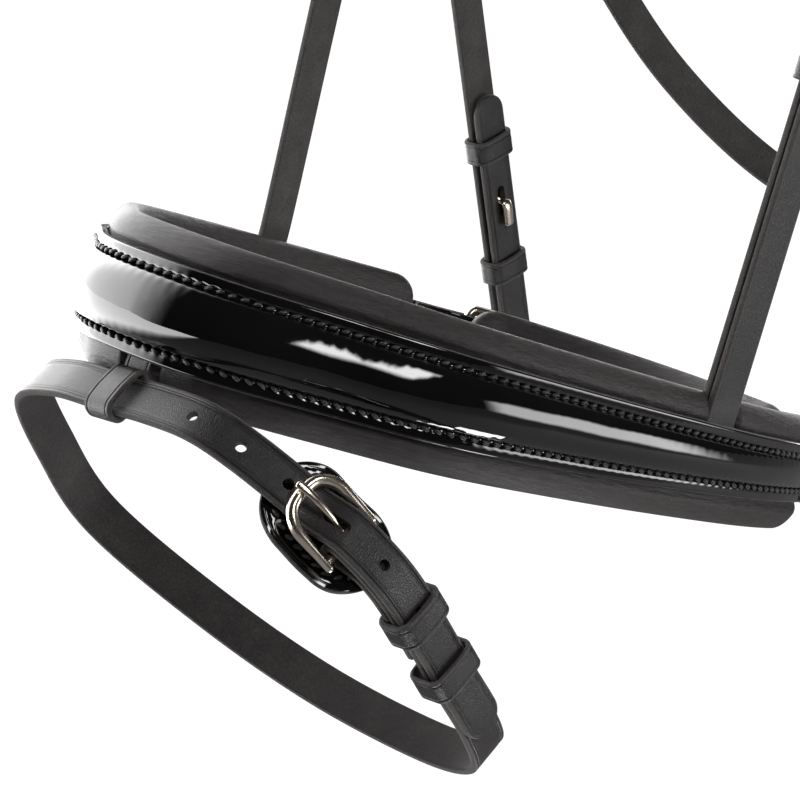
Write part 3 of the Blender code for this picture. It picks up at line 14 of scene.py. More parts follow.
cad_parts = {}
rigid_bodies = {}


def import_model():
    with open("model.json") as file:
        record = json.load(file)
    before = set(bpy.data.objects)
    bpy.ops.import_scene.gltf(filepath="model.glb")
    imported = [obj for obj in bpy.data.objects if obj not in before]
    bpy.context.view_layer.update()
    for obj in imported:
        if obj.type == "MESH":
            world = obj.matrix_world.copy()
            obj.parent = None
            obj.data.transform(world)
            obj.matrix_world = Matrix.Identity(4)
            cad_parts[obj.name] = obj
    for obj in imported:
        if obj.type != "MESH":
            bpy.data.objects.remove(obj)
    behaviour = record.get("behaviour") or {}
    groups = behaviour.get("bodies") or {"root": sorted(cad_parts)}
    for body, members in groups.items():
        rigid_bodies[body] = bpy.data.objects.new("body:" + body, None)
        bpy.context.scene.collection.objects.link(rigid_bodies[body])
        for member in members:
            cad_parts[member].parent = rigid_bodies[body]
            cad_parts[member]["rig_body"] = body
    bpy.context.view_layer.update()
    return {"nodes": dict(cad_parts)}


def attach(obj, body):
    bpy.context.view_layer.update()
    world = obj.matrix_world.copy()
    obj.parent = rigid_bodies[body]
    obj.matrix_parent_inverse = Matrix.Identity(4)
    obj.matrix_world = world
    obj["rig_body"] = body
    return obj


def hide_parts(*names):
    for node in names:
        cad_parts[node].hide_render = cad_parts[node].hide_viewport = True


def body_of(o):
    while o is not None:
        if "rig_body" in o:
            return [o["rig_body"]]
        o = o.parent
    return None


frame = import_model()

bl_info = {
    "name": "Crank noseband bridle",
    "version": (1, 0, 0),
    "blender": (4, 5, 0),
    "location": "View3D > Sidebar > Bridle",
    "description": "Builds the leather, pads, stitching and buckles of a crank noseband bridle",
    "category": "Add Mesh",
}

# Clearances and straps, as the solids have them
GAP = 0.0003
LOOP_CLEARANCE = 0.0005
SLOT_CLEARANCE = 0.0006
STRAP_WIDTH = 0.0130
STRAP_THICKNESS = 0.0022
PATENT_THICKNESS = 0.0026
FOLD_LEAD = 0.0110
HOLE_PITCH = 0.0200

# Buckles
BAR_RADIUS = 0.0016
BUCKLE_LENGTH = 0.0150
BUCKLE_BULGE = 0.0022
TONGUE_RADIUS = 0.0009
TONGUE_SLOT_WIDTH = 0.0044
TONGUE_HOLE_WIDTH = 0.0031
TONGUE_HOLE_LENGTH = 0.0078
TONGUE_HOLE_PLACE = 0.0054
HOLE_RADIUS = 0.0016
TURN_BACK = 0.0400
FRONT_LAYER = 0.0010
SIDE_CLEARANCE = 0.0009
TONGUE_SHARES = (
    (0.19, 0.40), (0.33, 0.55), (0.50, 0.76), (0.72, 0.94), (0.90, 1.0), (1.03, 1.0), (1.13, 0.98),
)

# Loops round the straps
LOOP_THICKNESS = 0.0018
LOOP_WIDTH = 0.0080

# Noseband
NOSE_DROP = 0.3140
NOSE_REACH = 0.2680
NOSEBAND_PITCH = math.radians(24.5)
NOSEBAND_HALF_WIDTH = 0.0955
NOSEBAND_LENGTH = 0.2340
PATENT_FRONT_HEIGHT = 0.0278
PATENT_REAR_HEIGHT = 0.0172
ROLL_RISE = 0.0055
ROLL_END = 0.0300
PAD_FRONT_HEIGHT = 0.0455
PAD_REAR_HEIGHT = 0.0355
PAD_THICKNESS = 0.0090
PAD_DROP = 0.0015
PAD_ROUND = 0.0090
PAD_SETBACK = 0.0240

# Crank
RING_WIRE = 0.0017
RING_LENGTH = 0.0125
RING_CLEARANCE = 0.0005
RING_TURN = 0.0200
RING_LEAD = 0.0165
CRANK_CHAPE_LENGTH = 0.0320
CRANK_TIP = 0.0360
CRANK_KEEPER = 0.0150
CRANK_RUNNER = 0.0270
CHIN_PAD_CLEAR = 0.0012
CHIN_SAG = 0.0200
CHIN_PAD_HEIGHT = 0.0260
CHIN_PAD_THICKNESS = 0.0090
CHIN_PAD_SETBACK = 0.0150
CHIN_PAD_LEAD = 0.0060
CHIN_PAD_REACH = 0.0020

# Flash strap
FLASH_SPAN = 0.1110
FLASH_LOOP_WIDTH = 0.0105
FLASH_LOOP_PLAY = 0.0011
FLASH_DROP = 0.0255
FLASH_TAB_TUCK = 0.0040
TAB_INSET = 0.0004
TAB_CLEARANCE = 0.0009
FLASH_LEAN = math.radians(27.5)
FLASH_TIP = 0.0740
FLASH_KEEPER = 0.0285
FLASH_RUNNER = 0.0500
GUARD_FRONT = 0.0265
GUARD_REAR = 0.0150
GUARD_DROP = 0.0012
FLASH_HOLE_PITCH = 0.0158
GUARD_WIDTH = 0.0270
GUARD_THICKNESS = 0.0018

# Head
CROWN_FLAT = 0.0180
CROWN_HALF_WIDTH = 0.0890
CROWN_DROP = 0.1500
CROWN_LEAN = 0.0480
CROWN_PAD_THICKNESS = 0.0080
CROWN_PAD_WIDTH = 0.0400
CROWN_PAD_LENGTH = 0.2300
HEADPIECE_THICKNESS = 0.0028
HEADPIECE_SLIT = 0.0010
HEADPIECE_CLEARANCE = 0.0009
SLIT_START = 0.1150
LANE_WIDTH = 0.0130
HANGER_PLACE = 0.1458
CHEEK_DROP = 0.2940
CHEEK_BUCKLE_DROP = 0.0750
BIT_LOOP_RADIUS = 0.0085
BILLET_LOOP_HIGH = 0.0888
BILLET_LOOP_LOW = 0.0436
BILLET_LOOP_THICKNESS = 0.0016
CHEEK_BEHIND_NOSE = 0.2570
CHEEK_DRAW_IN = 0.0140
CHEEK_KEEPER = 0.0180
CHEEK_RUNNER = 0.0340
CHEEK_TIP = 0.0480
TAIL_LEAD = 0.0240
BILLET_LENGTH = 0.1075
BILLET_GAP = 0.0010
HOOK_RADIUS = 0.0012
HOOK_RISE = 0.0687
HOOK_HEAD_RADIUS = 0.0032
HOOK_HEAD_RISE = 0.0012
HOOK_REACH = 0.0080
HOOK_SLOT_LENGTH = 0.0110
HOOK_SHARES = ((0.06, 1.3), (0.25, 1.6), (0.6, 1.6), (1.0, 1.5))
THROAT_DROP = 0.2600
THROAT_LEAN = math.radians(27)
THROAT_BUCKLE_DROP = 0.0700
THROAT_KEEPER = 0.0180
THROAT_RUNNER = 0.0320
THROAT_TIP = 0.0440
HANGER_LEAD = 0.0240
HANGER_START_SHARES = (1.0, 0.5)
HANGER_MIDDLE_SHARES = (0.25, 0.5, 0.75)
HANGER_BUCKLE_RISE = 0.1550
HANGER_KEEPER = 0.0180
HANGER_RUNNER = 0.0380
HANGER_TIP = 0.0520
HANGER_SEAT_UP = 0.0240
HANGER_SEAT_DOWN = 0.0020
BROWBAND_REACH = 0.0760
BROWBAND_WIDTH = 0.0160
BROWBAND_THICKNESS = 0.0034
BROWBAND_ROLL_RISE = 0.0050
BROWBAND_LIFT = 0.0360
BROWBAND_DIP = 0.0240
BROWBAND_ROLL_WIDTH = 0.0130
BROWBAND_ROLL_TAPER = 0.0600
BROWBAND_ROLL_INSET = 0.0300

# Shares that shape the routes, of the named sizes beside them
NOSEBAND_PLAN_SHARES = (
    (0.0, 0.0), (0.275, 0.024), (0.53, 0.115), (0.78, 0.23), (0.92, 0.405), (0.99, 0.575),
    (1.0, 0.745), (0.935, 0.885), (0.79, 1.0),
)
FLASH_ROUTE_SHARES = (
    (0.662, 0.231), (0.542, 0.115), (0.405, 0.02), (0.29, -0.025), (0.15, -0.022), (0.0, 0.0),
    (-0.21, 0.028), (-0.385, 0.128), (-0.43, 0.36), (-0.395, 0.63), (-0.10, 0.865), (0.24, 1.01),
    (0.60, 1.045), (0.79, 0.985), (0.825, 0.85), (0.80, 0.66), (0.77, 0.42), (0.732, 0.303),
)
BROWBAND_SHARES = ((1.0, 0.0), (0.97, 0.38), (0.74, 0.77), (0.38, 0.95), (0.0, 1.0))
THROAT_SHARES = (
    (1.0, 0.0), (1.0, 0.22), (0.985, 0.42), (0.93, 0.62), (0.76, 0.82), (0.42, 0.965), (0.0, 1.0),
)

# Leatherwork
FINE = 0.0003
ROW = 0.0011
EDGE_ROUND = 0.0005
CREASES = ((0.0013, 0.00020), (0.0020, 0.00013))
CREASE_WIDTH = 0.00016
HANGER_CREASES = ((0.0012, 0.00006),)
CROSS_SLANT = 48.0
COLUMNS = (
    0.0, 0.00006, 0.00016, 0.00032, 0.00055, 0.00085, 0.00108, 0.0012, 0.0013, 0.0014, 0.00155,
    0.00175, 0.0019, 0.0020, 0.0021, 0.0024, 0.0030, 0.0040, 0.0052,
)
BACK_COLUMNS = (0.0, 0.00006, 0.00016, 0.00032, 0.00055, 0.0012, 0.0026, 0.0045)
BEND_STEP_SHARE = 0.13
TIP_SHARE = 0.03
BODY_ROW = 0.0018
LOOP_CREASES = ((0.0014, 0.00022),)
TOOL_MARGIN = 0.0004
EDGE_BELLY = 0.00008
LOOP_CORNER = 0.0021
RUNNER_SLACK = 0.0005
LOOP_BOW = 0.00035
ARM_END = 0.0012
ARM_RADIUS = 0.0014
FRONT_RADIUS = 0.0018
HEEL_RADIUS = 0.00135
BUCKLE_TURN = 0.0050
SEAM_INSET = 0.0020
SEAM_STOP = 0.0050
NOSE_SEAM_INSET = 0.0034
REAR_SEAM_INSET = 0.0038
ROLL_FOOT = 0.0008
ROLL_POWER = 0.6
ROLL_FALL_SHARE = 0.55
SEAM_GROOVE = 0.0006
PAD_ROW = 0.0010
PAD_POWER = 3.0
# Dents in the noseband pad: reach along it, ease, room for the leather, its side and its edge
HANGER_DENT = (0.0078, 0.0014, 0.0036, 1, -0.0060)
HEADSTRAP_DENT = (0.0078, 0.0014, 0.0034, 1, -0.0060)
FLASH_LOOP_DENT = (0.0082, 0.0022, 0.0085, -1, 0.0085)
PAD_CORNER_SHARE = 0.85
PAD_TIP_SHARE = 0.40
CHIN_SEAM = 0.0590
CHIN_SEAM_DEPTH = 0.0016
CHIN_SEAM_WIDTH = 0.0012
HOOK_SLIT = 0.0060
CRANK_TURN_SHARE = 0.6
CRANK_HEEL_SHARE = 0.50
STITCH_SHARE = 0.74
GUARD_RIM = ((0.0017, 0.00028),)
GUARD_SEAM_INSET = 0.0040
BROWBAND_SEAM_INSET = 0.0012
BROWBAND_FLANGE = 0.0009
BROWBAND_END_ROUND = 0.0040

# Camera and light
CAMERA_ANGLES = (42.497, 24.014, 0.375)
CAMERA_PLACE = (0.64278, -0.86788, 0.04942)
NOSE_SIDE = (-0.992, -0.087, 0.087)
REAR_SIDE = (-0.700, 0.700, 0.140)
SIDE_FULL = 0.86
FLOOR_GLOW = 0.96
FLOOR_MIRROR = 0.10
FLOOR_FALL = (-0.80, -0.40)
FLOOR_TONE = 0.25
FLOOR_REACH = 12.0
FLOOR_CORNERS = ((-1, -1), (1, -1), (1, 1), (-1, 1))

X = np.array([1.0, 0.0, 0.0])
Y = np.array([0.0, 1.0, 0.0])
Z = np.array([0.0, 0.0, 1.0])
MIRROR = np.array([-1.0, 1.0, 1.0])
NOSE = np.array([0.0, -NOSE_REACH, -NOSE_DROP])
REARWARD = np.array([0.0, math.cos(NOSEBAND_PITCH), -math.sin(NOSEBAND_PITCH)])
BAND_UP = np.array([0.0, math.sin(NOSEBAND_PITCH), math.cos(NOSEBAND_PITCH)])
FOLD_RADIUS = BAR_RADIUS + GAP + STRAP_THICKNESS / 2
LAYER = (STRAP_THICKNESS + GAP) / 2
BILLET_LAYER = LAYER + STRAP_THICKNESS + GAP
BILLET_TOP = FOLD_RADIUS + STRAP_THICKNESS + GAP
FRONT_BAR_RISE = FRONT_LAYER + STRAP_THICKNESS / 2 + GAP + BAR_RADIUS
LOOP_TONGUE = BAR_RADIUS + GAP + TONGUE_RADIUS
TONGUE_REST = FRONT_BAR_RISE + BAR_RADIUS + GAP + TONGUE_RADIUS


def unit(vectors):
    """Vectors scaled to length one."""
    vectors = np.asarray(vectors, float)
    return vectors / np.linalg.norm(vectors, axis=-1, keepdims=True)


def smooth(share):
    """Eases from 0 to 1 with level ends: 3x^2 - 2x^3."""
    share = np.clip(share, 0.0, 1.0)
    return share * share * (3.0 - 2.0 * share)


def lengths_of(points):
    """How far along a row of points each of them lies."""
    return np.r_[0, np.cumsum(np.linalg.norm(np.diff(points, axis=0), axis=1))]


def read_at(values, lengths, s):
    """Values at lengths s, in a straight line between the known ones."""
    return np.stack([np.interp(s, lengths, values[:, k]) for k in range(3)], axis=1)


def curve_through(points, closed=False, steps=96):
    """Catmull-Rom curve through the points, with many steps between two of them."""
    points = np.asarray(points, float)
    spans = len(points) if closed else len(points) - 1
    if closed:
        padded = np.vstack([points[-1:], points, points[:2]])
    else:
        padded = np.vstack([2 * points[0] - points[1], points, 2 * points[-1] - points[-2]])
    u = np.linspace(0, 1, steps, endpoint=False)[None, :, None]
    a, b, c, d = (padded[k:k + spans, None, :] for k in range(4))
    rise = (c - a) * u + (2 * a - 5 * b + 4 * c - d) * u**2 + (3 * b - a - 3 * c + d) * u**3
    curve = (b + rise / 2).reshape(-1, points.shape[1])
    return curve if closed else np.vstack([curve, points[-1:]])


class Route:
    """A guide line with a width direction and an outward normal at every length along it."""

    def __init__(self, points, width, closed=False):
        points = np.asarray(points, float)
        width = np.broadcast_to(np.asarray(width, float), points.shape)
        if closed:
            points = np.vstack([points, points[:1]])
            width = np.vstack([width, width[:1]])
        self.closed = closed
        self.points = points
        self.lengths = lengths_of(points)
        self.length = self.lengths[-1]
        if closed:
            ahead = np.vstack([points[1:], points[1:2]])
            behind = np.vstack([points[-2:-1], points[:-1]])
            tangents = unit(ahead - behind)
        else:
            tangents = unit(np.gradient(points, self.lengths, axis=0))
        self.tangents = tangents
        self.widths = unit(width - np.sum(width * tangents, axis=1, keepdims=True) * tangents)

    def read(self, values, s):
        """Values along the route at lengths s."""
        s = np.atleast_1d(np.asarray(s, float))
        return read_at(values, self.lengths, np.mod(s, self.length) if self.closed else s)

    def at(self, s, n=0.0, w=0.0):
        """Points at lengths s, n outwards and w across."""
        s = np.atleast_1d(np.asarray(s, float))
        points = self.read(self.points, s)
        tangent = unit(self.read(self.tangents, s))
        width = unit(self.read(self.widths, s))
        normal = unit(np.cross(tangent, width))
        if not self.closed:
            beyond = s - np.clip(s, 0, self.length)
            points = points + tangent * beyond[:, None]
        n = np.broadcast_to(np.asarray(n, float), s.shape)
        w = np.broadcast_to(np.asarray(w, float), s.shape)
        return points + normal * n[:, None] + width * w[:, None]

    def axes(self, s):
        """Tangent, width and outward directions at one length."""
        tangent = unit(self.read(self.tangents, s))[0]
        width = unit(self.read(self.widths, s))[0]
        return tangent, width, unit(np.cross(tangent, width))

    def line(self, s, n=0.0, w=0.0):
        """A strap's centre line along this route, with its width directions."""
        s = np.atleast_1d(np.asarray(s, float))
        return self.at(s, n, w), unit(self.read(self.widths, s))

    def lifted(self, s, n):
        """A new route that runs n outwards of this one."""
        points, widths = self.line(s, n)
        return Route(points, widths)


def joined(*lines):
    """One centre line from several that follow each other."""
    points = np.vstack([line[0] for line in lines])
    widths = np.vstack([line[1] for line in lines])
    keep = np.r_[True, np.linalg.norm(np.diff(points, axis=0), axis=1) > FINE / 30]
    return points[keep], widths[keep]


def mirrored(route):
    """The same route on the other side, with its normal still outwards."""
    return Route(route.points * MIRROR, -(route.widths * MIRROR))


# Routes, as the solids follow them
def chape_height(s):
    """Height of the main folded layer behind the heel bar."""
    return LAYER + (FOLD_RADIUS - LAYER) * smooth(1 + s / FOLD_LEAD)


def billet_height(s):
    """Height of the strap that runs under the front bar and over the heel bar."""
    ahead = BILLET_TOP + (FRONT_LAYER - BILLET_TOP) * smooth(s / (BUCKLE_LENGTH - BAR_RADIUS))
    behind = BILLET_LAYER + (BILLET_TOP - BILLET_LAYER) * smooth(1 + s / FOLD_LEAD)
    return np.where(s > 0, ahead, behind)


def chape_track(turned, reach, bar=BAR_RADIUS, thickness=STRAP_THICKNESS):
    """A strap end folded round a bar: its turned end inside, then its main layer out to reach."""
    radius = bar + GAP + thickness / 2
    layer = (thickness + GAP) / 2
    inner = np.linspace(-turned, 0, 160)[:-1]
    angles = np.linspace(-math.pi / 2, math.pi / 2, 49)
    outer = np.linspace(0, -reach, 320)[1:]
    s = np.r_[inner, radius * np.cos(angles), outer]
    n = np.r_[
        -(layer + (radius - layer) * smooth(1 + inner / FOLD_LEAD)),
        radius * np.sin(angles),
        layer + (radius - layer) * smooth(1 + outer / FOLD_LEAD),
    ]
    return s, n


def billet_track(reach, tip):
    """A strap from reach in front of the buckle, through it, to its tip behind."""
    s = np.linspace(reach, -tip, 400)
    return s, billet_height(s)


def noseband_route():
    """The outer face of the patent strap, from the far ring round the nose to the near ring."""
    half = np.array([(x * NOSEBAND_HALF_WIDTH, t * NOSEBAND_LENGTH) for x, t in NOSEBAND_PLAN_SHARES])
    plan = curve_through(np.vstack([half[:0:-1] * (-1, 1), half]))
    points = NOSE + plan[:, :1] * X + plan[:, 1:] * REARWARD
    return Route(points, BAND_UP)


def place_at_depth(route, depth):
    """Length along the noseband's near half where it lies this far behind the nose."""
    half = np.linspace(route.length / 2, route.length, 200)
    reach = (route.at(half) - NOSE) @ REARWARD
    return float(np.interp(depth, reach, half))


def head_route():
    """The inner face of the crown pad, from the far browband join over the poll to the near one."""
    radius = CROWN_HALF_WIDTH - CROWN_FLAT
    angles = np.linspace(0, math.pi / 2, 240)
    sunk = 1 - np.cos(angles)
    side = np.stack([CROWN_FLAT + radius * np.sin(angles), -CROWN_LEAN * sunk, -CROWN_DROP * sunk], axis=1)
    flat = np.linspace(-CROWN_FLAT, CROWN_FLAT, 48)[1:-1, None] * X
    return Route(np.vstack([side[::-1] * MIRROR, flat, side]), Y)


def hanger_route(head, noseband, hanger_s, strap_n, half_depth):
    """Down the near side from the browband join into the seam behind the patent strap."""
    depth = -(PATENT_THICKNESS + GAP + half_depth)
    tangent = noseband.axes(hanger_s)[0]
    start = head.at(head.length - HANGER_LEAD * np.array(HANGER_START_SHARES), strap_n)
    top = head.at(head.length, strap_n)[0]
    heights = (HANGER_SEAT_UP, HANGER_SEAT_UP / 2, -HANGER_SEAT_DOWN)
    seat = [noseband.at(hanger_s, depth, w)[0] for w in heights]
    between = [top + (seat[0] - top) * share for share in HANGER_MIDDLE_SHARES]
    points = curve_through(np.vstack([start, [top], between, seat]))
    share = smooth(np.linspace(0, 1, len(points)))[:, None]
    return Route(points, Y * (1 - share) + tangent * share)


def cheek_route(head, piece_n, lane_w):
    """Straight down the near cheek from the front lane of the headpiece to the bit loop."""
    top = head.at(head.length, piece_n - FRONT_LAYER, -lane_w)[0]
    bottom = top - np.array([CHEEK_DRAW_IN, 0.0, CHEEK_DROP])
    bottom[1] = CHEEK_BEHIND_NOSE - NOSE_REACH
    share = np.linspace(0, 1, 240)[:, None]
    return Route(top + (bottom - top) * share, Y)


def throat_route(head, piece_n, lane_w):
    """From the near rear lane down under the throat and up the far side."""
    top = head.at(head.length, piece_n - FRONT_LAYER, lane_w)[0]
    down = np.array([0.0, math.sin(THROAT_LEAN), -math.cos(THROAT_LEAN)])
    half = np.array([(x * top[0], v * THROAT_DROP) for x, v in THROAT_SHARES])
    plan = curve_through(np.vstack([half, half[-2::-1] * (-1, 1)]))
    points = top * (0, 1, 1) + plan[:, :1] * X + plan[:, 1:] * down
    return Route(points, np.cross(X, down))


def chin_route(noseband):
    """Behind the jaw from the far ring to the near ring."""
    lift = -(PATENT_THICKNESS + GAP / 2)
    far = noseband.at(-RING_LENGTH, lift)[0]
    near = noseband.at(noseband.length + RING_LENGTH, lift)[0]
    share = np.linspace(-1, 1, 9)[:, None]
    points = (far + near) / 2 + (near - far) / 2 * share + REARWARD * CHIN_SAG * (1 - share**2)
    return Route(curve_through(points), -BAND_UP)


def crank_base(heel, return_layer):
    """Height of the buckle's own guide line over the chin strap."""
    outer = LAYER + STRAP_THICKNESS / 2 + GAP
    at_heel = outer + FOLD_RADIUS + STRAP_THICKNESS / 2
    behind = outer + LAYER + STRAP_THICKNESS / 2
    ahead = return_layer - FRONT_LAYER

    def base(s):
        s = np.asarray(s, float)
        front = at_heel + (ahead - at_heel) * smooth((s - heel - BAR_RADIUS) / (BUCKLE_LENGTH + FOLD_LEAD))
        rear = behind + (at_heel - behind) * smooth(1 + (s - heel) / FOLD_LEAD)
        return np.where(s > heel, front, rear)

    return base


def flash_route():
    """The closed line of the flash strap in its own leaning plane."""
    down = np.array([0.0, math.sin(FLASH_LEAN), -math.cos(FLASH_LEAN)])
    axis = np.array([0.0, -math.cos(FLASH_LEAN), -math.sin(FLASH_LEAN)])
    origin = NOSE - BAND_UP * FLASH_DROP
    points = [origin + X * a * FLASH_SPAN + down * b * FLASH_SPAN for a, b in FLASH_ROUTE_SHARES]
    return Route(curve_through(points, closed=True), axis, closed=True), origin


def browband_route(head, edge, middle):
    """Across the brow from the far loop to the near one."""
    start = head.at(head.length - BROWBAND_LIFT, middle, -edge - LOOP_THICKNESS - GAP)[0]
    width = head.axes(head.length - BROWBAND_LIFT)[1]
    lead = start - width * LOOP_WIDTH
    half = [start, lead]
    for share_x, share_y in BROWBAND_SHARES[1:]:
        drop = np.array([0.0, -BROWBAND_REACH * share_y, BROWBAND_DIP * share_y])
        half.append(lead * (share_x, 1, 1) + drop)
    half = np.array(half)
    return Route(curve_through(np.vstack([half * MIRROR, half[-2::-1]])), Z)


def blended(start, start_widths, points, widths):
    """Joins two stretches with a smooth bend between them, a cubic with both end slopes."""
    before = unit(start[-1] - start[-2])
    after = unit(points[1] - points[0])
    distance = np.linalg.norm(points[0] - start[-1])
    u = np.linspace(0, 1, 60)[1:-1, None]
    bend = (
        (2 * u**3 - 3 * u**2 + 1) * start[-1]
        + (u**3 - 2 * u**2 + u) * before * distance
        + (3 * u**2 - 2 * u**3) * points[0]
        + (u**3 - u**2) * after * distance
    )
    bend_widths = (1 - u) * start_widths[-1] + u * widths[0]
    return joined((start, start_widths), (bend, bend_widths), (points, widths))


class Plan:
    """Every route of the bridle, worked out once."""

    def __init__(self):
        self.noseband = noseband_route()
        self.hanger_s = place_at_depth(self.noseband, HANGER_PLACE)
        self.head = head_route()
        self.strap_n = CROWN_PAD_THICKNESS + GAP + STRAP_THICKNESS / 2
        self.piece_n = (
            CROWN_PAD_THICKNESS + GAP + HEADPIECE_CLEARANCE + STRAP_THICKNESS + HEADPIECE_THICKNESS / 2
        )
        self.lane_w = (LANE_WIDTH + HEADPIECE_SLIT) / 2
        to_hanger = self.head, self.noseband, self.hanger_s, self.strap_n
        self.near_hanger = hanger_route(*to_hanger, LAYER * 2)
        self.far_hanger = mirrored(hanger_route(*to_hanger, LAYER))
        self.cheek = cheek_route(self.head, self.piece_n, self.lane_w)
        self.throat = throat_route(self.head, self.piece_n, self.lane_w)
        self.chin = chin_route(self.noseband)
        self.flash, origin = flash_route()
        from_nose = np.linalg.norm(self.flash.points - origin, axis=1)
        self.flash_nose = float(self.flash.lengths[np.argmin(from_nose)])


PLAN = Plan()


# Surfaces
def frames(line, places):
    """Centre, across, outward and onward directions at lengths along a dense centre line."""
    points, widths = line
    lengths = lengths_of(points)
    onward = unit(read_at(unit(np.gradient(points, lengths, axis=0)), lengths, places))
    across = read_at(widths, lengths, places)
    across = unit(across - np.sum(across * onward, axis=1, keepdims=True) * onward)
    centre = read_at(points, lengths, places)
    return centre, across, unit(np.cross(onward, across)), onward


def line_length(line):
    """Whole length of a centre line."""
    return float(np.sum(np.linalg.norm(np.diff(line[0], axis=0), axis=1)))


def averaged(values):
    """Each value's mean with its three neighbours on both sides."""
    return np.convolve(np.pad(values, 3, mode="edge"), np.ones(7) / 7, mode="valid")


def places_along(line, coarse=ROW, tips=(0.0, 0.0)):
    """Lengths along a line for the rows of a surface: a step of a share of the bend's radius,
    never over the coarse one, and fine steps over round tips."""
    points = line[0]
    lengths = lengths_of(points)
    total = lengths[-1]
    s = np.linspace(0, total, int(total / FINE) + 2)
    onward = unit(np.gradient(read_at(points, lengths, s), s, axis=0))
    bend = averaged(np.linalg.norm(np.gradient(onward, s, axis=0), axis=1))
    step = np.clip(BEND_STEP_SHARE / np.maximum(bend, 1), FINE * 1.2, coarse)
    for tip, distance in zip(tips, (s, total - s)):
        if tip:
            step = np.minimum(step, FINE / 2 + distance / 5)
    step = np.minimum(step, averaged(step))
    count = np.r_[0, np.cumsum((1 / step[1:] + 1 / step[:-1]) / 2 * np.diff(s))]
    return np.interp(np.linspace(0, count[-1], int(math.ceil(count[-1])) + 1), count, s)


class Shell:
    """Arrays of one closed surface: points, four-sided and three-sided faces, a finish number for
    each face, and two surface lengths for each point."""

    def __init__(self, points, quads, tris, quad_slots, tri_slots, chart):
        self.points = points
        self.quads = quads
        self.tris = tris
        self.quad_slots = quad_slots
        self.tri_slots = tri_slots
        self.chart = chart
        corners = np.vstack([quads[:, [0, 1, 2]], quads[:, [0, 2, 3]], tris])
        a, b, c = (points[corners[:, k]] for k in range(3))
        if np.sum(a * np.cross(b, c)) < 0:
            self.quads = quads[:, ::-1]
            self.tris = tris[:, ::-1]


def ring_shell(rings, slots, closed=False, chart=None, cap_slot=1):
    """Closed sections joined one after another; open ends are closed by a fan to their middle."""
    rows, around = rings.shape[:2]
    points = rings.reshape(-1, 3)
    index = np.arange(rows * around).reshape(rows, around)
    beyond = np.roll(index, -1, axis=0) if closed else index[1:]
    here = index if closed else index[:-1]
    quads = np.stack(
        [here, np.roll(here, -1, axis=1), np.roll(beyond, -1, axis=1), beyond], axis=2
    ).reshape(-1, 4)
    quad_slots = np.broadcast_to(np.asarray(slots), here.shape).reshape(-1)
    tris = np.zeros((0, 3), int)
    if chart is None:
        chart = np.zeros((rows, around, 2))
    chart = chart.reshape(-1, 2)
    if not closed:
        middles = np.stack([rings[0].mean(axis=0), rings[-1].mean(axis=0)])
        count = len(points)
        points = np.vstack([points, middles])
        chart = np.vstack([chart, chart[[0, -1]]])
        first, last = index[0], index[-1]
        tris = np.vstack(
            [
                np.stack([np.roll(first, -1), first, np.full(around, count)], axis=1),
                np.stack([last, np.roll(last, -1), np.full(around, count + 1)], axis=1),
            ]
        )
    return Shell(points, quads, tris, quad_slots, np.full(len(tris), cap_slot), chart)


def swept_shell(line, s, w, n, slots, closed=False, cap_slot=1):
    """A surface from its sections at lengths along a line: w across and n outwards of it, with
    the length and w as its chart."""
    centre, across, normal, _ = (axis[:, None] for axis in frames(line, s))
    rings = centre + across * w[:, :, None] + normal * n[:, :, None]
    chart = np.stack([np.broadcast_to(s[:, None], w.shape), w], axis=2)
    return ring_shell(rings, slots, closed, chart, cap_slot)


def merged(shells):
    """Several surfaces as one."""
    counts = np.cumsum([0] + [len(shell.points) for shell in shells])
    return Shell(
        np.vstack([shell.points for shell in shells]),
        np.vstack([shell.quads + count for shell, count in zip(shells, counts)]),
        np.vstack([shell.tris + count for shell, count in zip(shells, counts)]),
        np.concatenate([shell.quad_slots for shell in shells]),
        np.concatenate([shell.tri_slots for shell in shells]),
        np.vstack([shell.chart for shell in shells]),
    )


def mesh_object(name, shells, materials):
    """A smooth shaded mesh object from surfaces, with its chart as a UV map in metres."""
    shell = merged(shells)
    mesh = bpy.data.meshes.new(name)
    corners = np.concatenate([shell.quads.ravel(), shell.tris.ravel()]).astype(np.int32)
    totals = np.concatenate([np.full(len(shell.quads), 4), np.full(len(shell.tris), 3)]).astype(np.int32)
    mesh.vertices.add(len(shell.points))
    mesh.vertices.foreach_set("co", shell.points.astype(np.float32).ravel())
    mesh.loops.add(len(corners))
    mesh.loops.foreach_set("vertex_index", corners)
    mesh.polygons.add(len(totals))
    mesh.polygons.foreach_set("loop_start", np.r_[0, np.cumsum(totals)[:-1]].astype(np.int32))
    mesh.polygons.foreach_set("loop_total", totals)
    slots = np.concatenate([shell.quad_slots, shell.tri_slots]).astype(np.int32)
    mesh.polygons.foreach_set("material_index", slots)
    chart = mesh.uv_layers.new(name="chart")
    chart.uv.foreach_set("vector", shell.chart[corners].astype(np.float32).ravel())
    mesh.update(calc_edges=True)
    mesh.shade_smooth()
    made = bpy.data.objects.new(name, mesh)
    bpy.context.collection.objects.link(made)
    for finish in materials:
        mesh.materials.append(finish)
    return made


def add_piece(kit, name, shells, wanted, nodes):
    """Adds a piece that stands for CAD nodes and moves with the body of the first of them. The
    wanted finishes are its face's, its edges' and its back's, then its thread's."""
    wanted = wanted.split()
    made = mesh_object(name, shells, [kit[finish] for finish in wanted])
    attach(made, body_of(frame["nodes"][nodes[0]])[0])
    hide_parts(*nodes)
    return made


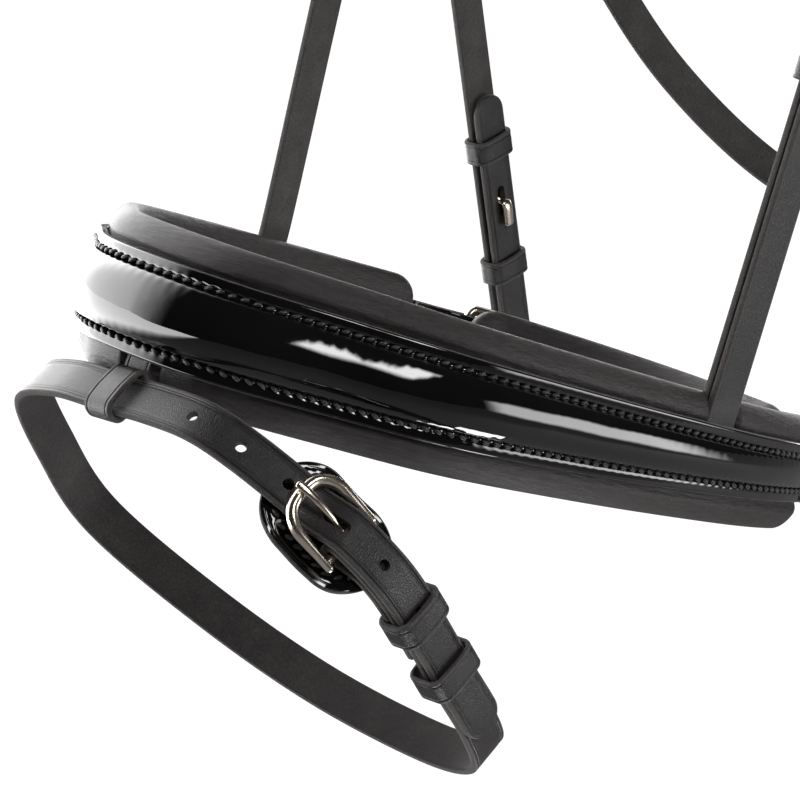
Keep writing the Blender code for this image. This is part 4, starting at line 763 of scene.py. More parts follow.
def punch(made, tools, cut_finish):
    """Takes closed shapes out of a piece and gives the cut walls their own finish."""
    made.data.materials.append(cut_finish)
    number = len(made.data.materials) - 1
    for tool in tools:
        tool.quad_slots, tool.tri_slots = np.full(len(tool.quads), number), np.full(len(tool.tris), number)
    blanks = [None] * number + [cut_finish]
    cutter = mesh_object(made.name + "_cutter", tools, blanks)
    modifier = made.modifiers.new("holes", "BOOLEAN")
    modifier.operation = "DIFFERENCE"
    modifier.solver = "MANIFOLD"
    modifier.object = cutter
    bpy.context.view_layer.update()
    evaluated = made.evaluated_get(bpy.context.evaluated_depsgraph_get())
    result = bpy.data.meshes.new_from_object(evaluated)
    made.modifiers.clear()
    before = made.data
    if len(result.polygons) < len(before.polygons) / 2:
        raise RuntimeError(f"the holes in {made.name} left too little of it")
    made.data = result
    result.name = made.name
    result.set_sharp_from_angle(angle=math.radians(50))
    bpy.data.meshes.remove(before)
    old = cutter.data
    bpy.data.objects.remove(cutter, do_unlink=True)
    bpy.data.meshes.remove(old)


def edge_drop(distance, radius):
    """How far a rounded edge lies under the face: a quarter circle over its radius."""
    inside = np.clip(1 - distance / radius, 0, 1)
    return radius * (1 - np.sqrt(1 - inside**2))


def crease_drop(distance, creases):
    """Depth of the lines tooled beside an edge: a bell curve at each line's distance."""
    drop = np.zeros_like(distance)
    for place, depth in creases:
        drop += depth * np.exp(-(((distance - place) / CREASE_WIDTH) ** 2))
    return drop


def strap_shell(
    line, width, thickness, tips=(False, False), creases=CREASES, closed=False, coarse=ROW, lift=None,
):
    """A strap's closed surface: its face a function of the length and of the distance from the
    edge, which is rounded, with tooled lines that follow the edge round the tips too."""
    half = width / 2
    tip = tuple(half if wanted else 0.0 for wanted in tips)
    s = places_along(line, coarse, tip)
    if closed:
        s = s[:-1]
    total = line_length(line)
    thick = np.broadcast_to(thickness(s) if callable(thickness) else thickness, s.shape)[:, None]
    share = np.ones_like(s)
    past = np.zeros_like(s)
    for reach, distance in zip(tip, (s, total - s)):
        if reach:
            inside = np.clip(1 - distance / reach, 0, 1)
            share = np.minimum(share, np.sqrt(1 - inside**2))
            past = np.maximum(past, inside * half)
    share = np.maximum(share, TIP_SHARE)[:, None]
    past = past[:, None]

    def section(distances):
        near = np.array([d for d in distances if d < half * 0.96])
        w = half * share * np.r_[1 - near / half, near[::-1] / half - 1]
        return w, np.maximum(half - np.sqrt(past**2 + w**2), 0)

    w_face, from_edge = section(COLUMNS)
    w_back, from_edge_back = (values[:, ::-1] for values in section(BACK_COLUMNS))
    round_face, round_back = min(EDGE_ROUND, half / 4), EDGE_ROUND * 0.8
    n_face = thick / 2 - edge_drop(from_edge, round_face) - crease_drop(from_edge, creases)
    if lift is not None:
        n_face = n_face + lift(s[:, None], w_face, from_edge)
    n_back = -thick / 2 + edge_drop(from_edge_back, round_back)
    side_w = (half + EDGE_BELLY) * share
    side_n = np.full_like(share, (round_back - round_face) / 2)
    w = np.hstack([w_face, -side_w, w_back, side_w])
    n = np.hstack([n_face, side_n, n_back, side_n])
    faces, backs = w_face.shape[1], w_back.shape[1]
    slots = np.ones(faces + backs + 2, int)
    rim = np.sum(np.array(COLUMNS) < EDGE_ROUND * 0.7)
    slots[rim:faces - 1 - rim] = 0
    slots[faces + 2:faces + backs - 1] = 2
    return swept_shell(line, s, w, n, slots, closed)


def tube_shell(points, wide, deep=None, closed=False, sides=20, hint=Z, round_ends=True):
    """A bar along points: an ellipse in each section, wide along the hint's side and deep across,
    with ends that close in a quarter circle."""
    points = np.asarray(points, float)
    deep = wide if deep is None else deep
    wide, deep = (np.broadcast_to(np.asarray(size, float), (len(points),)) for size in (wide, deep))
    if closed:
        onward = unit(np.roll(points, -1, axis=0) - np.roll(points, 1, axis=0))
    else:
        onward = unit(np.gradient(points, axis=0))
        if round_ends:
            turn = np.array([0.0, 0.26, 0.5, 0.71, 0.87, 0.97])
            grown = np.sqrt(1 - (1 - turn) ** 2)
            grown[0] = 0.05
            lead = points[0] - onward[0] * deep[0] * (1 - turn)[:, None]
            tail = points[-1] + onward[-1] * deep[-1] * (1 - turn[::-1])[:, None]
            points = np.vstack([lead, points, tail])
            onward = np.vstack([np.tile(onward[0], (6, 1)), onward, np.tile(onward[-1], (6, 1))])
            wide, deep = (np.r_[size[0] * grown, size, size[-1] * grown[::-1]] for size in (wide, deep))
    side = unit(np.cross(onward, np.broadcast_to(hint, points.shape)))
    up = np.cross(side, onward)
    angles = np.linspace(0, 2 * math.pi, sides, endpoint=False)
    rings = (
        points[:, None]
        + side[:, None] * (np.cos(angles)[None, :] * wide[:, None])[:, :, None]
        + up[:, None] * (np.sin(angles)[None, :] * deep[:, None])[:, :, None]
    )
    return ring_shell(rings, np.zeros(sides, int), closed, cap_slot=0)


def prism_shell(origin, along, across, outward, outline, depth):
    """An outline, in along and across sizes, drawn through depth on both sides of its origin."""
    outline = np.asarray(outline)
    flat = origin + along * outline[:, :1] + across * outline[:, 1:]
    rings = np.stack([flat - outward * depth, flat + outward * depth])
    return ring_shell(rings, np.zeros(len(outline), int))


def oval(length, width, sides=28):
    """A slot's outline with round ends."""
    angles = (np.arange(sides) + 0.5) / sides * 2 * math.pi
    shift = (length - width) / 2 * np.sign(np.cos(angles))
    return np.stack([shift + np.cos(angles) * width / 2, np.sin(angles) * width / 2], axis=1)


def thread_shells(centre, onward, across, normal, look, length, slant=None, slot=0):
    """One short thread for each place: a capsule laid at a slant, all from one template."""
    slant = math.radians(look.stitch_slant) if slant is None else slant
    share = np.array([-1.0, -0.94, -0.78, -0.45, 0.0, 0.45, 0.78, 0.94, 1.0])
    radius = look.thread_size / 2 * np.array([0.12, 0.45, 0.76, 0.96, 1.0, 0.96, 0.76, 0.45, 0.12])
    angles = np.linspace(0, 2 * math.pi, 8, endpoint=False)
    lay = unit(onward * math.cos(slant) + across * math.sin(slant))
    side = np.cross(normal, lay)
    arch = look.thread_size * 0.28 * (1 - share**2)
    spine = centre[:, None] + lay[:, None] * (share * length / 2)[None, :, None]
    spine = spine + normal[:, None] * arch[None, :, None]
    ring = (
        side[:, None, None] * (np.cos(angles)[None, :] * radius[:, None])[None, :, :, None]
        + normal[:, None, None] * (np.sin(angles)[None, :] * radius[:, None])[None, :, :, None]
    )
    rings = spine[:, :, None] + ring
    count, rows, around = rings.shape[:3]
    points = rings.reshape(-1, 3)
    index = np.arange(rows * around).reshape(rows, around)
    here, beyond = index[:-1], index[1:]
    one = np.stack([here, np.roll(here, -1, axis=1), np.roll(beyond, -1, axis=1), beyond], axis=2)
    fan = [[0, k + 1, k] for k in range(1, around - 1)]
    last = (rows - 1) * around
    fan += [[last, last + k, last + k + 1] for k in range(1, around - 1)]
    shift = (np.arange(count) * rows * around)[:, None, None]
    quads = (one.reshape(-1, 4)[None] + shift).reshape(-1, 4)
    tris = (np.array(fan)[None] + shift).reshape(-1, 3)
    chart = np.zeros((len(points), 2))
    chart[:, 0] = np.tile(np.repeat(share, around), count)
    return Shell(points, quads, tris, np.full(len(quads), slot), np.full(len(tris), slot), chart)


def seam_places(start, stop, pitch):
    """Middles of a whole number of stitches between two lengths."""
    count = max(1, int(round((stop - start) / pitch)))
    return start + (np.arange(count) + 0.5) * (stop - start) / count


def seam_on(line, places, w, lift, look, slant=None, slot=0):
    """Stitches along a centre line at places, w across and lift outwards."""
    centre, across, normal, onward = frames(line, places)
    w = np.broadcast_to(w, places.shape)[:, None]
    middle = centre + across * w + normal * lift
    return thread_shells(middle, onward, across, normal, look, look.stitch_pitch * STITCH_SHARE, slant, slot)


def lattice(seed, u, v):
    """Smooth unevenness between -1 and 1: seeded random values on a square lattice, eased between."""
    values = np.random.default_rng(seed).uniform(-1, 1, (128, 128))
    iu, iv = np.floor(u).astype(int), np.floor(v).astype(int)
    fu, fv = smooth(u - iu), smooth(v - iv)
    iu, iv = iu % 128, iv % 128
    ju, jv = (iu + 1) % 128, (iv + 1) % 128
    low = values[iu, iv] * (1 - fu) + values[ju, iv] * fu
    high = values[iu, jv] * (1 - fu) + values[ju, jv] * fu
    return low * (1 - fv) + high * fv


# Finishes
def feed(tree, node, inputs):
    """Gives each named input of a node its value, or a link from another node's output."""
    for key, value in inputs.items():
        if isinstance(value, bpy.types.NodeSocket):
            tree.links.new(value, node.inputs[key])
        else:
            node.inputs[key].default_value = value


def node_adder(tree):
    """A function that adds a node with its inputs and settings and hands back one output."""

    def add(kind, inputs=None, output=0, **settings):
        node = tree.nodes.new("ShaderNode" + kind)
        for key, value in settings.items():
            setattr(node, key, value)
        feed(tree, node, inputs or {})
        return node.outputs[output]

    return add


class Finish:
    """A material over the object's own coordinates, and the nodes that its parts share."""

    def __init__(self, name):
        self.made = bpy.data.materials.new(name)
        self.made.use_nodes = True
        self.tree = self.made.node_tree
        self.shader = self.tree.nodes["Principled BSDF"]
        self.add = node_adder(self.tree)
        self.place = self.add("TexCoord", output="Object")

    def noise(self, scale, detail=3.0, rough=0.55, over=None):
        """A noise texture's factor."""
        over = self.place if over is None else over
        inputs = {"Scale": scale, "Detail": detail, "Roughness": rough, "Vector": over}
        return self.add("TexNoise", inputs, "Fac")

    def between(self, factor, low, high, start=0.0, stop=1.0):
        """A factor stretched in a straight line from start and stop to low and high."""
        inputs = {"Value": factor, "From Min": start, "From Max": stop, "To Min": low, "To Max": high}
        return self.add("MapRange", inputs)

    def shades(self, factor, base, *stops):
        """Lighter and darker shades of one colour: its multiple at each place of a factor."""
        colours = self.add("ValToRGB", {"Fac": factor})
        ramp = colours.node.color_ramp
        tones = [(place, (*(float(c) * share for c in base), 1)) for place, share in stops]
        for element, tone in zip(ramp.elements, (tones[0], tones[-1])):
            element.position, element.color = tone
        for place, tone in tones[1:-1]:
            ramp.elements.new(place).color = tone
        return colours

    def done(self, inputs, bumps=()):
        """Feeds the shader, its bumps chained: each has a height, a strength and a distance."""
        normal = {}
        for height, strength, distance in bumps:
            lift = {"Height": height, "Strength": strength, "Distance": distance}
            normal = {"Normal": self.add("Bump", {**lift, **normal})}
        feed(self.tree, self.shader, {**inputs, **normal})
        return self.made


def leather_finish(look, name, base, rough=0.0, folds=0.0):
    """Dyed leather: pores from a cell texture, fine grain and mottling from noise; with folds, the folds' own
    noise also sets the colour, as painted shade in their hollows and a painted highlight on their crests.
    """
    made = Finish(name)
    add, size, depth = made.add, look.grain_size, look.grain_depth
    swirl = add("TexNoise", {"Scale": 0.4 / size, "Vector": made.place}, "Color")
    shift = add("VectorMath", {0: swirl, "Scale": size * 1.4}, operation="SCALE")
    spot = add("VectorMath", {0: made.place, 1: shift}, operation="ADD")
    cells = add("TexVoronoi", {"Scale": 1 / size, "Vector": spot}, "Distance", feature="DISTANCE_TO_EDGE")
    fine = made.noise(2600, 2.0, 0.6)
    bumps = [
        (made.between(cells, 0.0, 1.0, 0.0, 0.16), 0.60 * depth, 0.00007),
        (fine, 0.40 * depth, 0.00005),
        (made.noise(300), 0.35, 0.00012),
    ]
    tone = made.noise(90, 4.0, 0.6)
    if folds:
        stretch = {"Rotation": (0, 0, math.radians(58)), "Scale": (0.22, 1.0, 1.0)}
        chart = add("Mapping", {"Vector": add("UVMap", uv_map="chart"), **stretch})
        # The folds' noise sets both the bump and the colour below: painted shade in the folds' hollows,
        # painted highlight on their crests.
        tone = made.noise(900, 4.0, 0.6, chart)
        bumps.append((tone, folds, 0.00070))
    matt = look.leather_roughness + rough
    inputs = {
        "Specular IOR Level": 0.40,
        "Roughness": made.between(fine, matt - 0.08, matt + 0.10),
        # Base colour: random mottling on plain straps; on padding leather, the folds' painted shade and
        # highlight.
        "Base Color": made.shades(tone, base, (0.25, 0.7), (0.5, 1.0), (0.75, 1.45)),
    }
    return made.done(inputs, bumps)


def patent_finish(look):
    """Varnished leather: a sharp reflection with a faint waviness under it."""
    made = Finish("black_patent")
    rough = look.patent_roughness
    inputs = {
        "IOR": 1.52,
        "Coat Weight": 0.35,
        "Coat Roughness": 0.02,
        "Roughness": made.between(made.noise(150), rough * 0.7, rough * 1.6),
        "Base Color": made.shades(made.noise(40), look.patent_colour, (0.3, 0.7), (0.7, 1.4)),
    }
    wave, dust = made.noise(170, 2.0, 0.45), made.noise(1500, 2.0, 0.5)
    return made.done(inputs, [(wave, 0.20, 0.00025), (dust, 0.05, 0.00002)])


def edge_finish(look):
    """The cut edge of a strap: dyed fibres, rough and a little lighter than the face."""
    made = Finish("raw_edge")
    fibres = made.noise(1900, 4.0, 0.7)
    inputs = {
        "Roughness": 0.72,
        "Sheen Weight": 0.25,
        "Sheen Roughness": 0.4,
        "Base Color": made.shades(fibres, look.edge_colour, (0.32, 0.45), (0.52, 1.0), (0.74, 1.9)),
    }
    return made.done(inputs, [(fibres, 0.7, 0.00014), (made.noise(500), 0.5, 0.0002)])


def flesh_finish(look):
    """The napped inside of a strap: grey-brown, speckled and matt."""
    made = Finish("flesh_side")
    speckle, cloud = made.noise(1300, 5.0, 0.72), made.noise(120, 3.0, 0.5)
    parts = {0: made.between(speckle, 0.0, 0.72, 0.25, 0.75), 1: made.between(cloud, 0.0, 0.28, 0.3, 0.7)}
    both = made.add("Math", parts, operation="ADD")
    stops = ((0.15, 0.4), (0.45, 0.9), (0.7, 1.35), (0.95, 2.3))
    inputs = {
        "Roughness": 0.85,
        "Sheen Weight": 0.15,
        "Base Color": made.shades(both, look.flesh_colour, *stops),
    }
    return made.done(inputs, [(speckle, 0.6, 0.00012)])


def cut_finish(look):
    """The raw brown wall of a punched hole."""
    made = Finish("raw_cut")
    tint = made.shades(made.noise(1500, 3.0, 0.7), look.cut_colour, (0.3, 0.5), (0.7, 1.5))
    return made.done({"Roughness": 0.9, "Base Color": tint})


def nickel_finish(look):
    """Polished nickel plate with fine rubbing marks."""
    made = Finish("polished_nickel")
    rub = made.noise(700, 3.0, 0.6)
    tint = made.shades(made.noise(160, 2.0), look.nickel_colour, (0.3, 0.93), (0.7, 1.04))
    inputs = {"Metallic": 1.0, "Roughness": made.between(rub, 0.17, 0.28), "Base Color": tint}
    return made.done(inputs, [(rub, 0.10, 0.00003)])


def thread_finish(look):
    """Waxed black thread with the twist of its strands."""
    made = Finish("waxed_thread")
    chart = made.add("UVMap", uv_map="chart")
    twist = made.add("TexWave", {"Scale": 1.6, "Distortion": 0.4, "Vector": chart}, "Fac", wave_type="BANDS")
    tint = made.shades(made.noise(900), look.thread_colour, (0.3, 0.6), (0.7, 1.6))
    return made.done({"Roughness": 0.34, "Base Color": tint}, [(twist, 0.5, 0.00008)])


# Buckles and loops
def loop_line(route, s, w_range, n_range, thickness):
    """The middle line of a loop round a strap: a rectangle with round corners and slightly bowed
    faces, that starts in the middle of its inner side."""
    reach = thickness / 2
    half = (w_range[1] - w_range[0]) / 2 + reach
    rise = (n_range[1] - n_range[0]) / 2 + reach
    middle_w, middle_n = sum(w_range) / 2, sum(n_range) / 2
    corner = min(LOOP_CORNER + reach, rise * 0.9, half * 0.9)
    arc = np.linspace(0, math.pi / 2, 14)[1:-1]
    cos, sin = np.cos(arc) * corner, np.sin(arc) * corner
    across = np.linspace(0, 1, 9)
    run_w, run_n = half - corner, rise - corner
    bottom = np.stack([across * run_w, -rise - LOOP_BOW * (1 - across**2)], axis=1)
    lower = np.stack([run_w + sin, -run_n - cos], axis=1)
    side = np.stack([np.full(9, half), (across * 2 - 1) * run_n], axis=1)
    upper = np.stack([run_w + cos, run_n + sin], axis=1)
    top = np.stack([(1 - across) * run_w, rise + LOOP_BOW * (1 - (1 - across) ** 2)], axis=1)
    right = np.vstack([bottom, lower, side, upper, top])
    outline = np.vstack([right, right[-2::-1] * (-1, 1)])
    tangent, width, normal = route.axes(s)
    centre = route.at(s)[0] + width * middle_w + normal * middle_n
    points = centre + width * outline[:, :1] + normal * outline[:, 1:]
    outward = np.cross(points[1] - points[0], tangent) @ normal
    if outward > 0:
        points = points[::-1]
    return points, np.tile(tangent, (len(points), 1))


def loop_shell(route, s, w_range, n_range, length=LOOP_WIDTH, thickness=LOOP_THICKNESS):
    """One leather loop with a tooled line beside each edge."""
    line = loop_line(route, s, w_range, n_range, thickness)
    return strap_shell(line, length, thickness, creases=LOOP_CREASES, closed=True, coarse=0.0008)


def frame_shells(route, s0, flip):
    """A buckle's wire: a bow whose bar thickens to the front and whose arms end in round knobs
    behind a thinner straight heel bar."""
    half = STRAP_WIDTH / 2 + BAR_RADIUS + SIDE_CLEARANCE
    turn = np.linspace(0, math.pi / 2, 14)
    straight = np.linspace(-ARM_END, BUCKLE_LENGTH - BUCKLE_TURN, 16)[:-1]
    s = np.r_[straight, BUCKLE_LENGTH - BUCKLE_TURN + BUCKLE_TURN * np.sin(turn), np.full(5, BUCKLE_LENGTH)]
    w = np.r_[np.full(15, half), half - BUCKLE_TURN + BUCKLE_TURN * np.cos(turn)]
    w = np.r_[w, np.linspace(half - BUCKLE_TURN, 0, 6)[1:]]
    s, w = np.r_[s, s[-2::-1]], np.r_[w, -w[-2::-1]]
    bow = BUCKLE_BULGE * smooth(2 * s / BUCKLE_LENGTH - 1) * (1 - (w / half) ** 2)
    rise = FRONT_BAR_RISE * np.clip(s / BUCKLE_LENGTH, -0.2, 1)
    points = route.at(s0 + flip * (s + bow), rise, w)
    radius = ARM_RADIUS + (FRONT_RADIUS - ARM_RADIUS) * smooth(s / BUCKLE_LENGTH)
    normal = route.axes(s0)[2]
    bow_shell = tube_shell(points, radius, hint=normal)
    bar_w = np.linspace(-half, half, 12)
    bar = tube_shell(route.at(np.full(12, s0), 0.0, bar_w), HEEL_RADIUS, hint=normal, sides=14)
    return [bow_shell, bar]


def tongue_shell(route, s0, flip):
    """The pin: a ring round the heel bar that narrows through the hole and widens to a blunt
    flattened end on the front bar."""
    angles = np.radians(np.linspace(-30, -250, 9))
    reach = BUCKLE_LENGTH + BUCKLE_BULGE
    shares = np.array(TONGUE_SHARES)
    s = np.r_[LOOP_TONGUE * np.cos(angles), reach * shares[:, 0]]
    n = np.r_[LOOP_TONGUE * np.sin(angles), TONGUE_REST * shares[:, 1]]
    tangent, width, normal = route.axes(s0)
    bar = (route.at(s0 + flip * BUCKLE_LENGTH, FRONT_BAR_RISE) - route.at(s0))[0]
    tilt = math.atan2(bar @ normal, flip * bar @ tangent) - math.atan2(FRONT_BAR_RISE, BUCKLE_LENGTH)
    along = s * math.cos(tilt) - n * math.sin(tilt)
    outward = s * math.sin(tilt) + n * math.cos(tilt)
    points = route.at(s0)[0] + tangent * flip * along[:, None] + normal * outward[:, None]
    points = curve_through(points, steps=6)
    onto = np.clip((np.arange(len(points)) / 6 - 9) / 6, 0, 1)
    wide = TONGUE_RADIUS * (0.95 + 0.5 * smooth(onto))
    return tube_shell(points, wide, np.full(len(points), TONGUE_RADIUS * 0.92), sides=16, hint=normal)


def loop_ranges(under=0.0):
    """Inner sizes of the loops behind a buckle."""
    low = -LAYER - STRAP_THICKNESS / 2 - LOOP_CLEARANCE - under
    high = BILLET_LAYER + STRAP_THICKNESS / 2 + LOOP_CLEARANCE
    side = STRAP_WIDTH / 2 + LOOP_CLEARANCE
    return (-side, side), (low, high)


def add_buckle(prefix, route, s0, flip, keeper_at, runner_at, kit, under=0.0):
    """Frame, tongue, fixed keeper and sliding runner of one buckle."""
    for ending, shells, part in (("bow", frame_shells(route, s0, flip), "buckle_frame"),
                                 ("pin", [tongue_shell(route, s0, flip)], "buckle_tongue")):
        add_piece(kit, f"{prefix}_{ending}", shells, "nickel", [f"{prefix}_{part}"])
    for kind, distance, slack in (("keeper", keeper_at, 0), ("runner", runner_at, RUNNER_SLACK)):
        wide, high = ((low - slack, top + slack) for low, top in loop_ranges(under))
        shell = loop_shell(route, s0 - flip * distance, wide, high, thickness=LOOP_THICKNESS - slack)
        node = f"{prefix}_{kind}"
        add_piece(kit, node + "_loop", [shell], "grain edge edge", [node])


def slot_tool(route, s0, flip):
    """The slot in the fold for the tongue's ring: a band swept over the fold's quarter."""
    back = LOOP_TONGUE + TONGUE_RADIUS + 2 * SLOT_CLEARANCE
    edge = FOLD_RADIUS + STRAP_THICKNESS / 2 + GAP / 2 + TOOL_MARGIN
    run = np.linspace(-back, 0, 10)[:-1]
    arc = np.linspace(0, math.pi / 2, 12)
    s = np.r_[run, edge * np.sin(arc), edge, -back]
    n = np.r_[chape_height(run) + STRAP_THICKNESS / 2 + TOOL_MARGIN, edge * np.cos(arc), -edge, -edge]
    across = route.axes(s0)[1] * TONGUE_SLOT_WIDTH / 2
    middle = route.at(s0 + flip * s, n)
    return ring_shell(np.array([middle - across, middle + across]), np.zeros(len(s), int))


def hole_tools(route, s0, flip, pitch, holes):
    """The tongue's slot in the billet and its row of round holes."""
    slot = oval(TONGUE_HOLE_LENGTH, TONGUE_HOLE_WIDTH), TONGUE_REST / 2
    hole = oval(2 * HOLE_RADIUS, 2 * HOLE_RADIUS), STRAP_THICKNESS / 2 + 0.0006
    tools = []
    for step in (0, *holes):
        s = TONGUE_HOLE_PLACE + step * pitch
        middle = route.at(s0 + flip * s, float(billet_height(s)))[0]
        axes = route.axes(s0 + flip * s if step else s0)
        tools.append(prism_shell(middle, *axes, *(hole if step else slot)))
    return tools


def chape_seams(route, s0, flip, start, stop, look):
    """Two rows of stitches through a turned strap end behind its keeper."""
    margin = 0.004
    line = route.line(s0 - flip * np.linspace(start - margin, stop + margin, 60))
    at = seam_places(start, stop, look.stitch_pitch) - (start - margin)
    inset = STRAP_WIDTH / 2 - SEAM_INSET
    return [seam_on(line, at, w * inset, LAYER + STRAP_THICKNESS / 2, look) for w in (-1, 1)]


# Noseband
def patent_sizes(s, total):
    """Half height, roll's half height, roll's rise and seam inset at lengths along the patent strap."""
    from_nose = np.abs(s - total / 2)
    reach = PLAN.noseband.length / 2
    share = np.minimum(1.0, from_nose / reach)
    height = PATENT_FRONT_HEIGHT + (PATENT_REAR_HEIGHT - PATENT_FRONT_HEIGHT) * smooth(share)
    left = np.clip((reach - ROLL_END - from_nose) / (reach - ROLL_END), 0, 1)
    inset = NOSE_SEAM_INSET + (REAR_SEAM_INSET - NOSE_SEAM_INSET) * share
    return height / 2, height / 2 - inset - ROLL_FOOT, ROLL_RISE * left**ROLL_FALL_SHARE, inset


def noseband_line():
    """Middle line of the patent strap, folded round both rings."""
    route = PLAN.noseband
    lift = -(PATENT_THICKNESS + GAP / 2)
    s, n = chape_track(RING_TURN, RING_LEAD, RING_WIRE, PATENT_THICKNESS)
    far = route.line(-s, n + lift)
    near = route.line(route.length + s[::-1], n[::-1] + lift)
    middle = np.linspace(RING_LEAD, route.length - RING_LEAD, 1200)[1:-1]
    return joined(far, route.line(middle, np.full(len(middle), -PATENT_THICKNESS / 2)), near)


def patent_shell(line, seam, look):
    """The patent strap: a flat edge, a groove with needle puckers, and a roll that rises as a
    rounded arch, (1 - x^2)^0.6, and dies away to the rear."""
    s = places_along(line, 0.00062)
    total = line_length(line)
    half, roll_half, rise, inset = (v[:, None] for v in patent_sizes(s, total))
    up = PATENT_THICKNESS / 2
    flat = np.array([0.0, 0.00006, 0.00016, 0.0003, 0.0005, 0.0008, 0.0013, 0.0020, 0.0027])
    by_seam = np.array([-0.0005, -0.0003, -0.00012, 0.0, 0.00012, 0.0003, 0.0005, 0.0007])
    arch = np.cos(np.linspace(0.06, math.pi / 2, 20))
    right = np.hstack([half - flat, half - inset - by_seam, roll_half * arch])
    w = np.hstack([right, -right[:, -2::-1]])
    from_edge = half - np.abs(w)
    from_seam = from_edge - inset
    start, stop, pitch = seam
    along = np.clip(s, start, stop)[:, None]
    sewn = smooth((s - start) / 0.002)[:, None] * smooth((stop - s) / 0.002)[:, None]
    needle = 0.5 + 0.5 * np.cos(2 * math.pi * (along - start) / pitch)
    x = np.clip(np.abs(w) / roll_half, 0, 1)
    n = up - edge_drop(from_edge, 0.0007)
    n = n + rise * (1 - x**2) ** ROLL_POWER
    uneven = lattice(3, s[:, None] / 0.011, w / 0.007 + 40) * 0.00007
    uneven = uneven + lattice(5, s[:, None] / 0.004, w / 0.004) * 0.00002
    n = n + uneven * (1 - x**4)
    groove = np.exp(-((from_seam / SEAM_GROOVE) ** 2))
    n = n - sewn * look.seam_depth * (1 + 0.8 * needle) * groove
    ripple = np.exp(-np.abs(from_seam - 0.0004) / 0.0013) * (from_seam > 0)
    n = n - sewn * look.pucker_depth * (needle - 0.5) * ripple
    outer = np.exp(-np.abs(from_seam) / 0.0009) * (from_seam < 0)
    n = n - sewn * look.pucker_depth * 0.6 * (needle - 0.5) * outer
    side_n = np.array([0.00045, 0.00022, 0.0001, -0.00012, -0.0003, -0.0007])
    side_w = np.array([0.00007, 0.00005, -0.00014, -0.00014, 0.00006, 0.00008])
    back_w = np.array([0.0, 0.0002, 0.0006, 0.0014, 0.0040])
    left_back = np.hstack([-half + back_w, half - back_w[::-1]])
    back_n = -up + edge_drop(half - np.abs(left_back), 0.0004)
    w = np.hstack([w, -half - side_w, left_back, half + side_w[::-1]])
    ones = np.ones_like(half)
    n = np.hstack([n, side_n * ones, back_n, side_n[::-1] * ones])
    faces, sides, backs = 2 * right.shape[1] - 1, len(side_n), left_back.shape[1]
    slots = np.ones(w.shape[1], int)
    slots[1:faces - 2] = 0
    slots[faces + sides:faces + sides + backs - 1] = 2
    return swept_shell(line, s, w, n, slots)


def pad_arc(s, total):
    """How far a pad's round ends have risen: a quarter circle over their radius."""
    inside = np.maximum(0, 1 - np.minimum(s, total - s) / PAD_ROUND)
    return np.sqrt(np.maximum(1 - inside**2, 0.004))[:, None]


def pad_shell(line, half_of, deep, lobe, dent, seed):
    """A stuffed pad: front and back bulge as (1 - |x|^p)^0.45 across it, its corners and ends are
    rounded, lobes swell beside the strap that holds it and dents make room for what crosses it."""
    s = places_along(line, PAD_ROW, (PAD_ROUND, PAD_ROUND))
    total = line_length(line)
    arc = pad_arc(s, total)
    half, offset = half_of((np.abs(s - total / 2) / (total / 2))[:, None])
    wide = half - PAD_ROUND * PAD_CORNER_SHARE * (1 - arc)
    plump = deep * (PAD_TIP_SHARE * smooth(arc * 3) + (1 - PAD_TIP_SHARE) * arc)
    x = np.sin(np.linspace(math.pi / 2, -math.pi / 2, 46))
    body = (1 - np.abs(x) ** PAD_POWER) ** 0.45
    w = offset + wide * x
    uneven = lattice(seed, s[:, None] / 0.016, w / 0.011 + 30) * 0.00022
    uneven = uneven + lattice(seed + 1, s[:, None] / 0.005 + w / 0.004, w / 0.007 + 30) * 0.00006
    front = plump * body + lobe(s[:, None], w, x) * arc + uneven * np.minimum(1, body * 1.4)
    front = dent(s[:, None], w, front)
    back = np.minimum(-plump * body, front - 0.0012 * (1 - np.abs(x) ** 6))
    w = np.hstack([w, w[:, -2:0:-1]])
    n = np.hstack([front, back[:, -2:0:-1]])
    return swept_shell(line, s, w, n, np.zeros(w.shape[1], int), cap_slot=0)


def noseband_pad_shell(look):
    """The pad behind the patent strap, with room for the hangers and the flash strap's loop."""
    route = PLAN.noseband
    depth = PATENT_THICKNESS + GAP + PAD_THICKNESS / 2
    places = np.linspace(PAD_SETBACK, route.length - PAD_SETBACK, 1200)
    line = route.line(places, np.full(len(places), -depth))
    lengths = lengths_of(line[0])
    nose = route.length / 2

    def half_of(share):
        height = PAD_FRONT_HEIGHT + (PAD_REAR_HEIGHT - PAD_FRONT_HEIGHT) * smooth(share)
        return height / 2, -PAD_DROP * share**2

    def lobe(s, w, x):
        here = np.interp(s, lengths, places)
        from_nose = np.abs(here - nose)
        start = patent_sizes(here, route.length)[0] / half_of(from_nose / nose)[0]
        beyond = np.clip((np.abs(x) - start) / (1 - start), 0, 1)
        below = np.where(w < 0, smooth((from_nose - 0.034) / 0.022), 1.0)
        return look.pad_swell * smooth(beyond * 3) * (1 - beyond**2) * below

    def dent(s, w, front):
        here = np.interp(s, lengths, places)
        rests = (
            (PLAN.hanger_s, 2 * STRAP_THICKNESS, HANGER_DENT),
            (route.length - PLAN.hanger_s, STRAP_THICKNESS, HEADSTRAP_DENT),
            (nose, 0.0, FLASH_LOOP_DENT),
        )
        for place, straps, (reach, ease, room, side, edge) in rests:
            near = smooth((reach - np.abs(here - place)) / ease) * smooth((side * w - edge) / 0.0015)
            front = front * (1 - near) + np.minimum(front, depth - straps - room) * near
        return front

    return pad_shell(line, half_of, PAD_THICKNESS / 2, lobe, dent, 11)


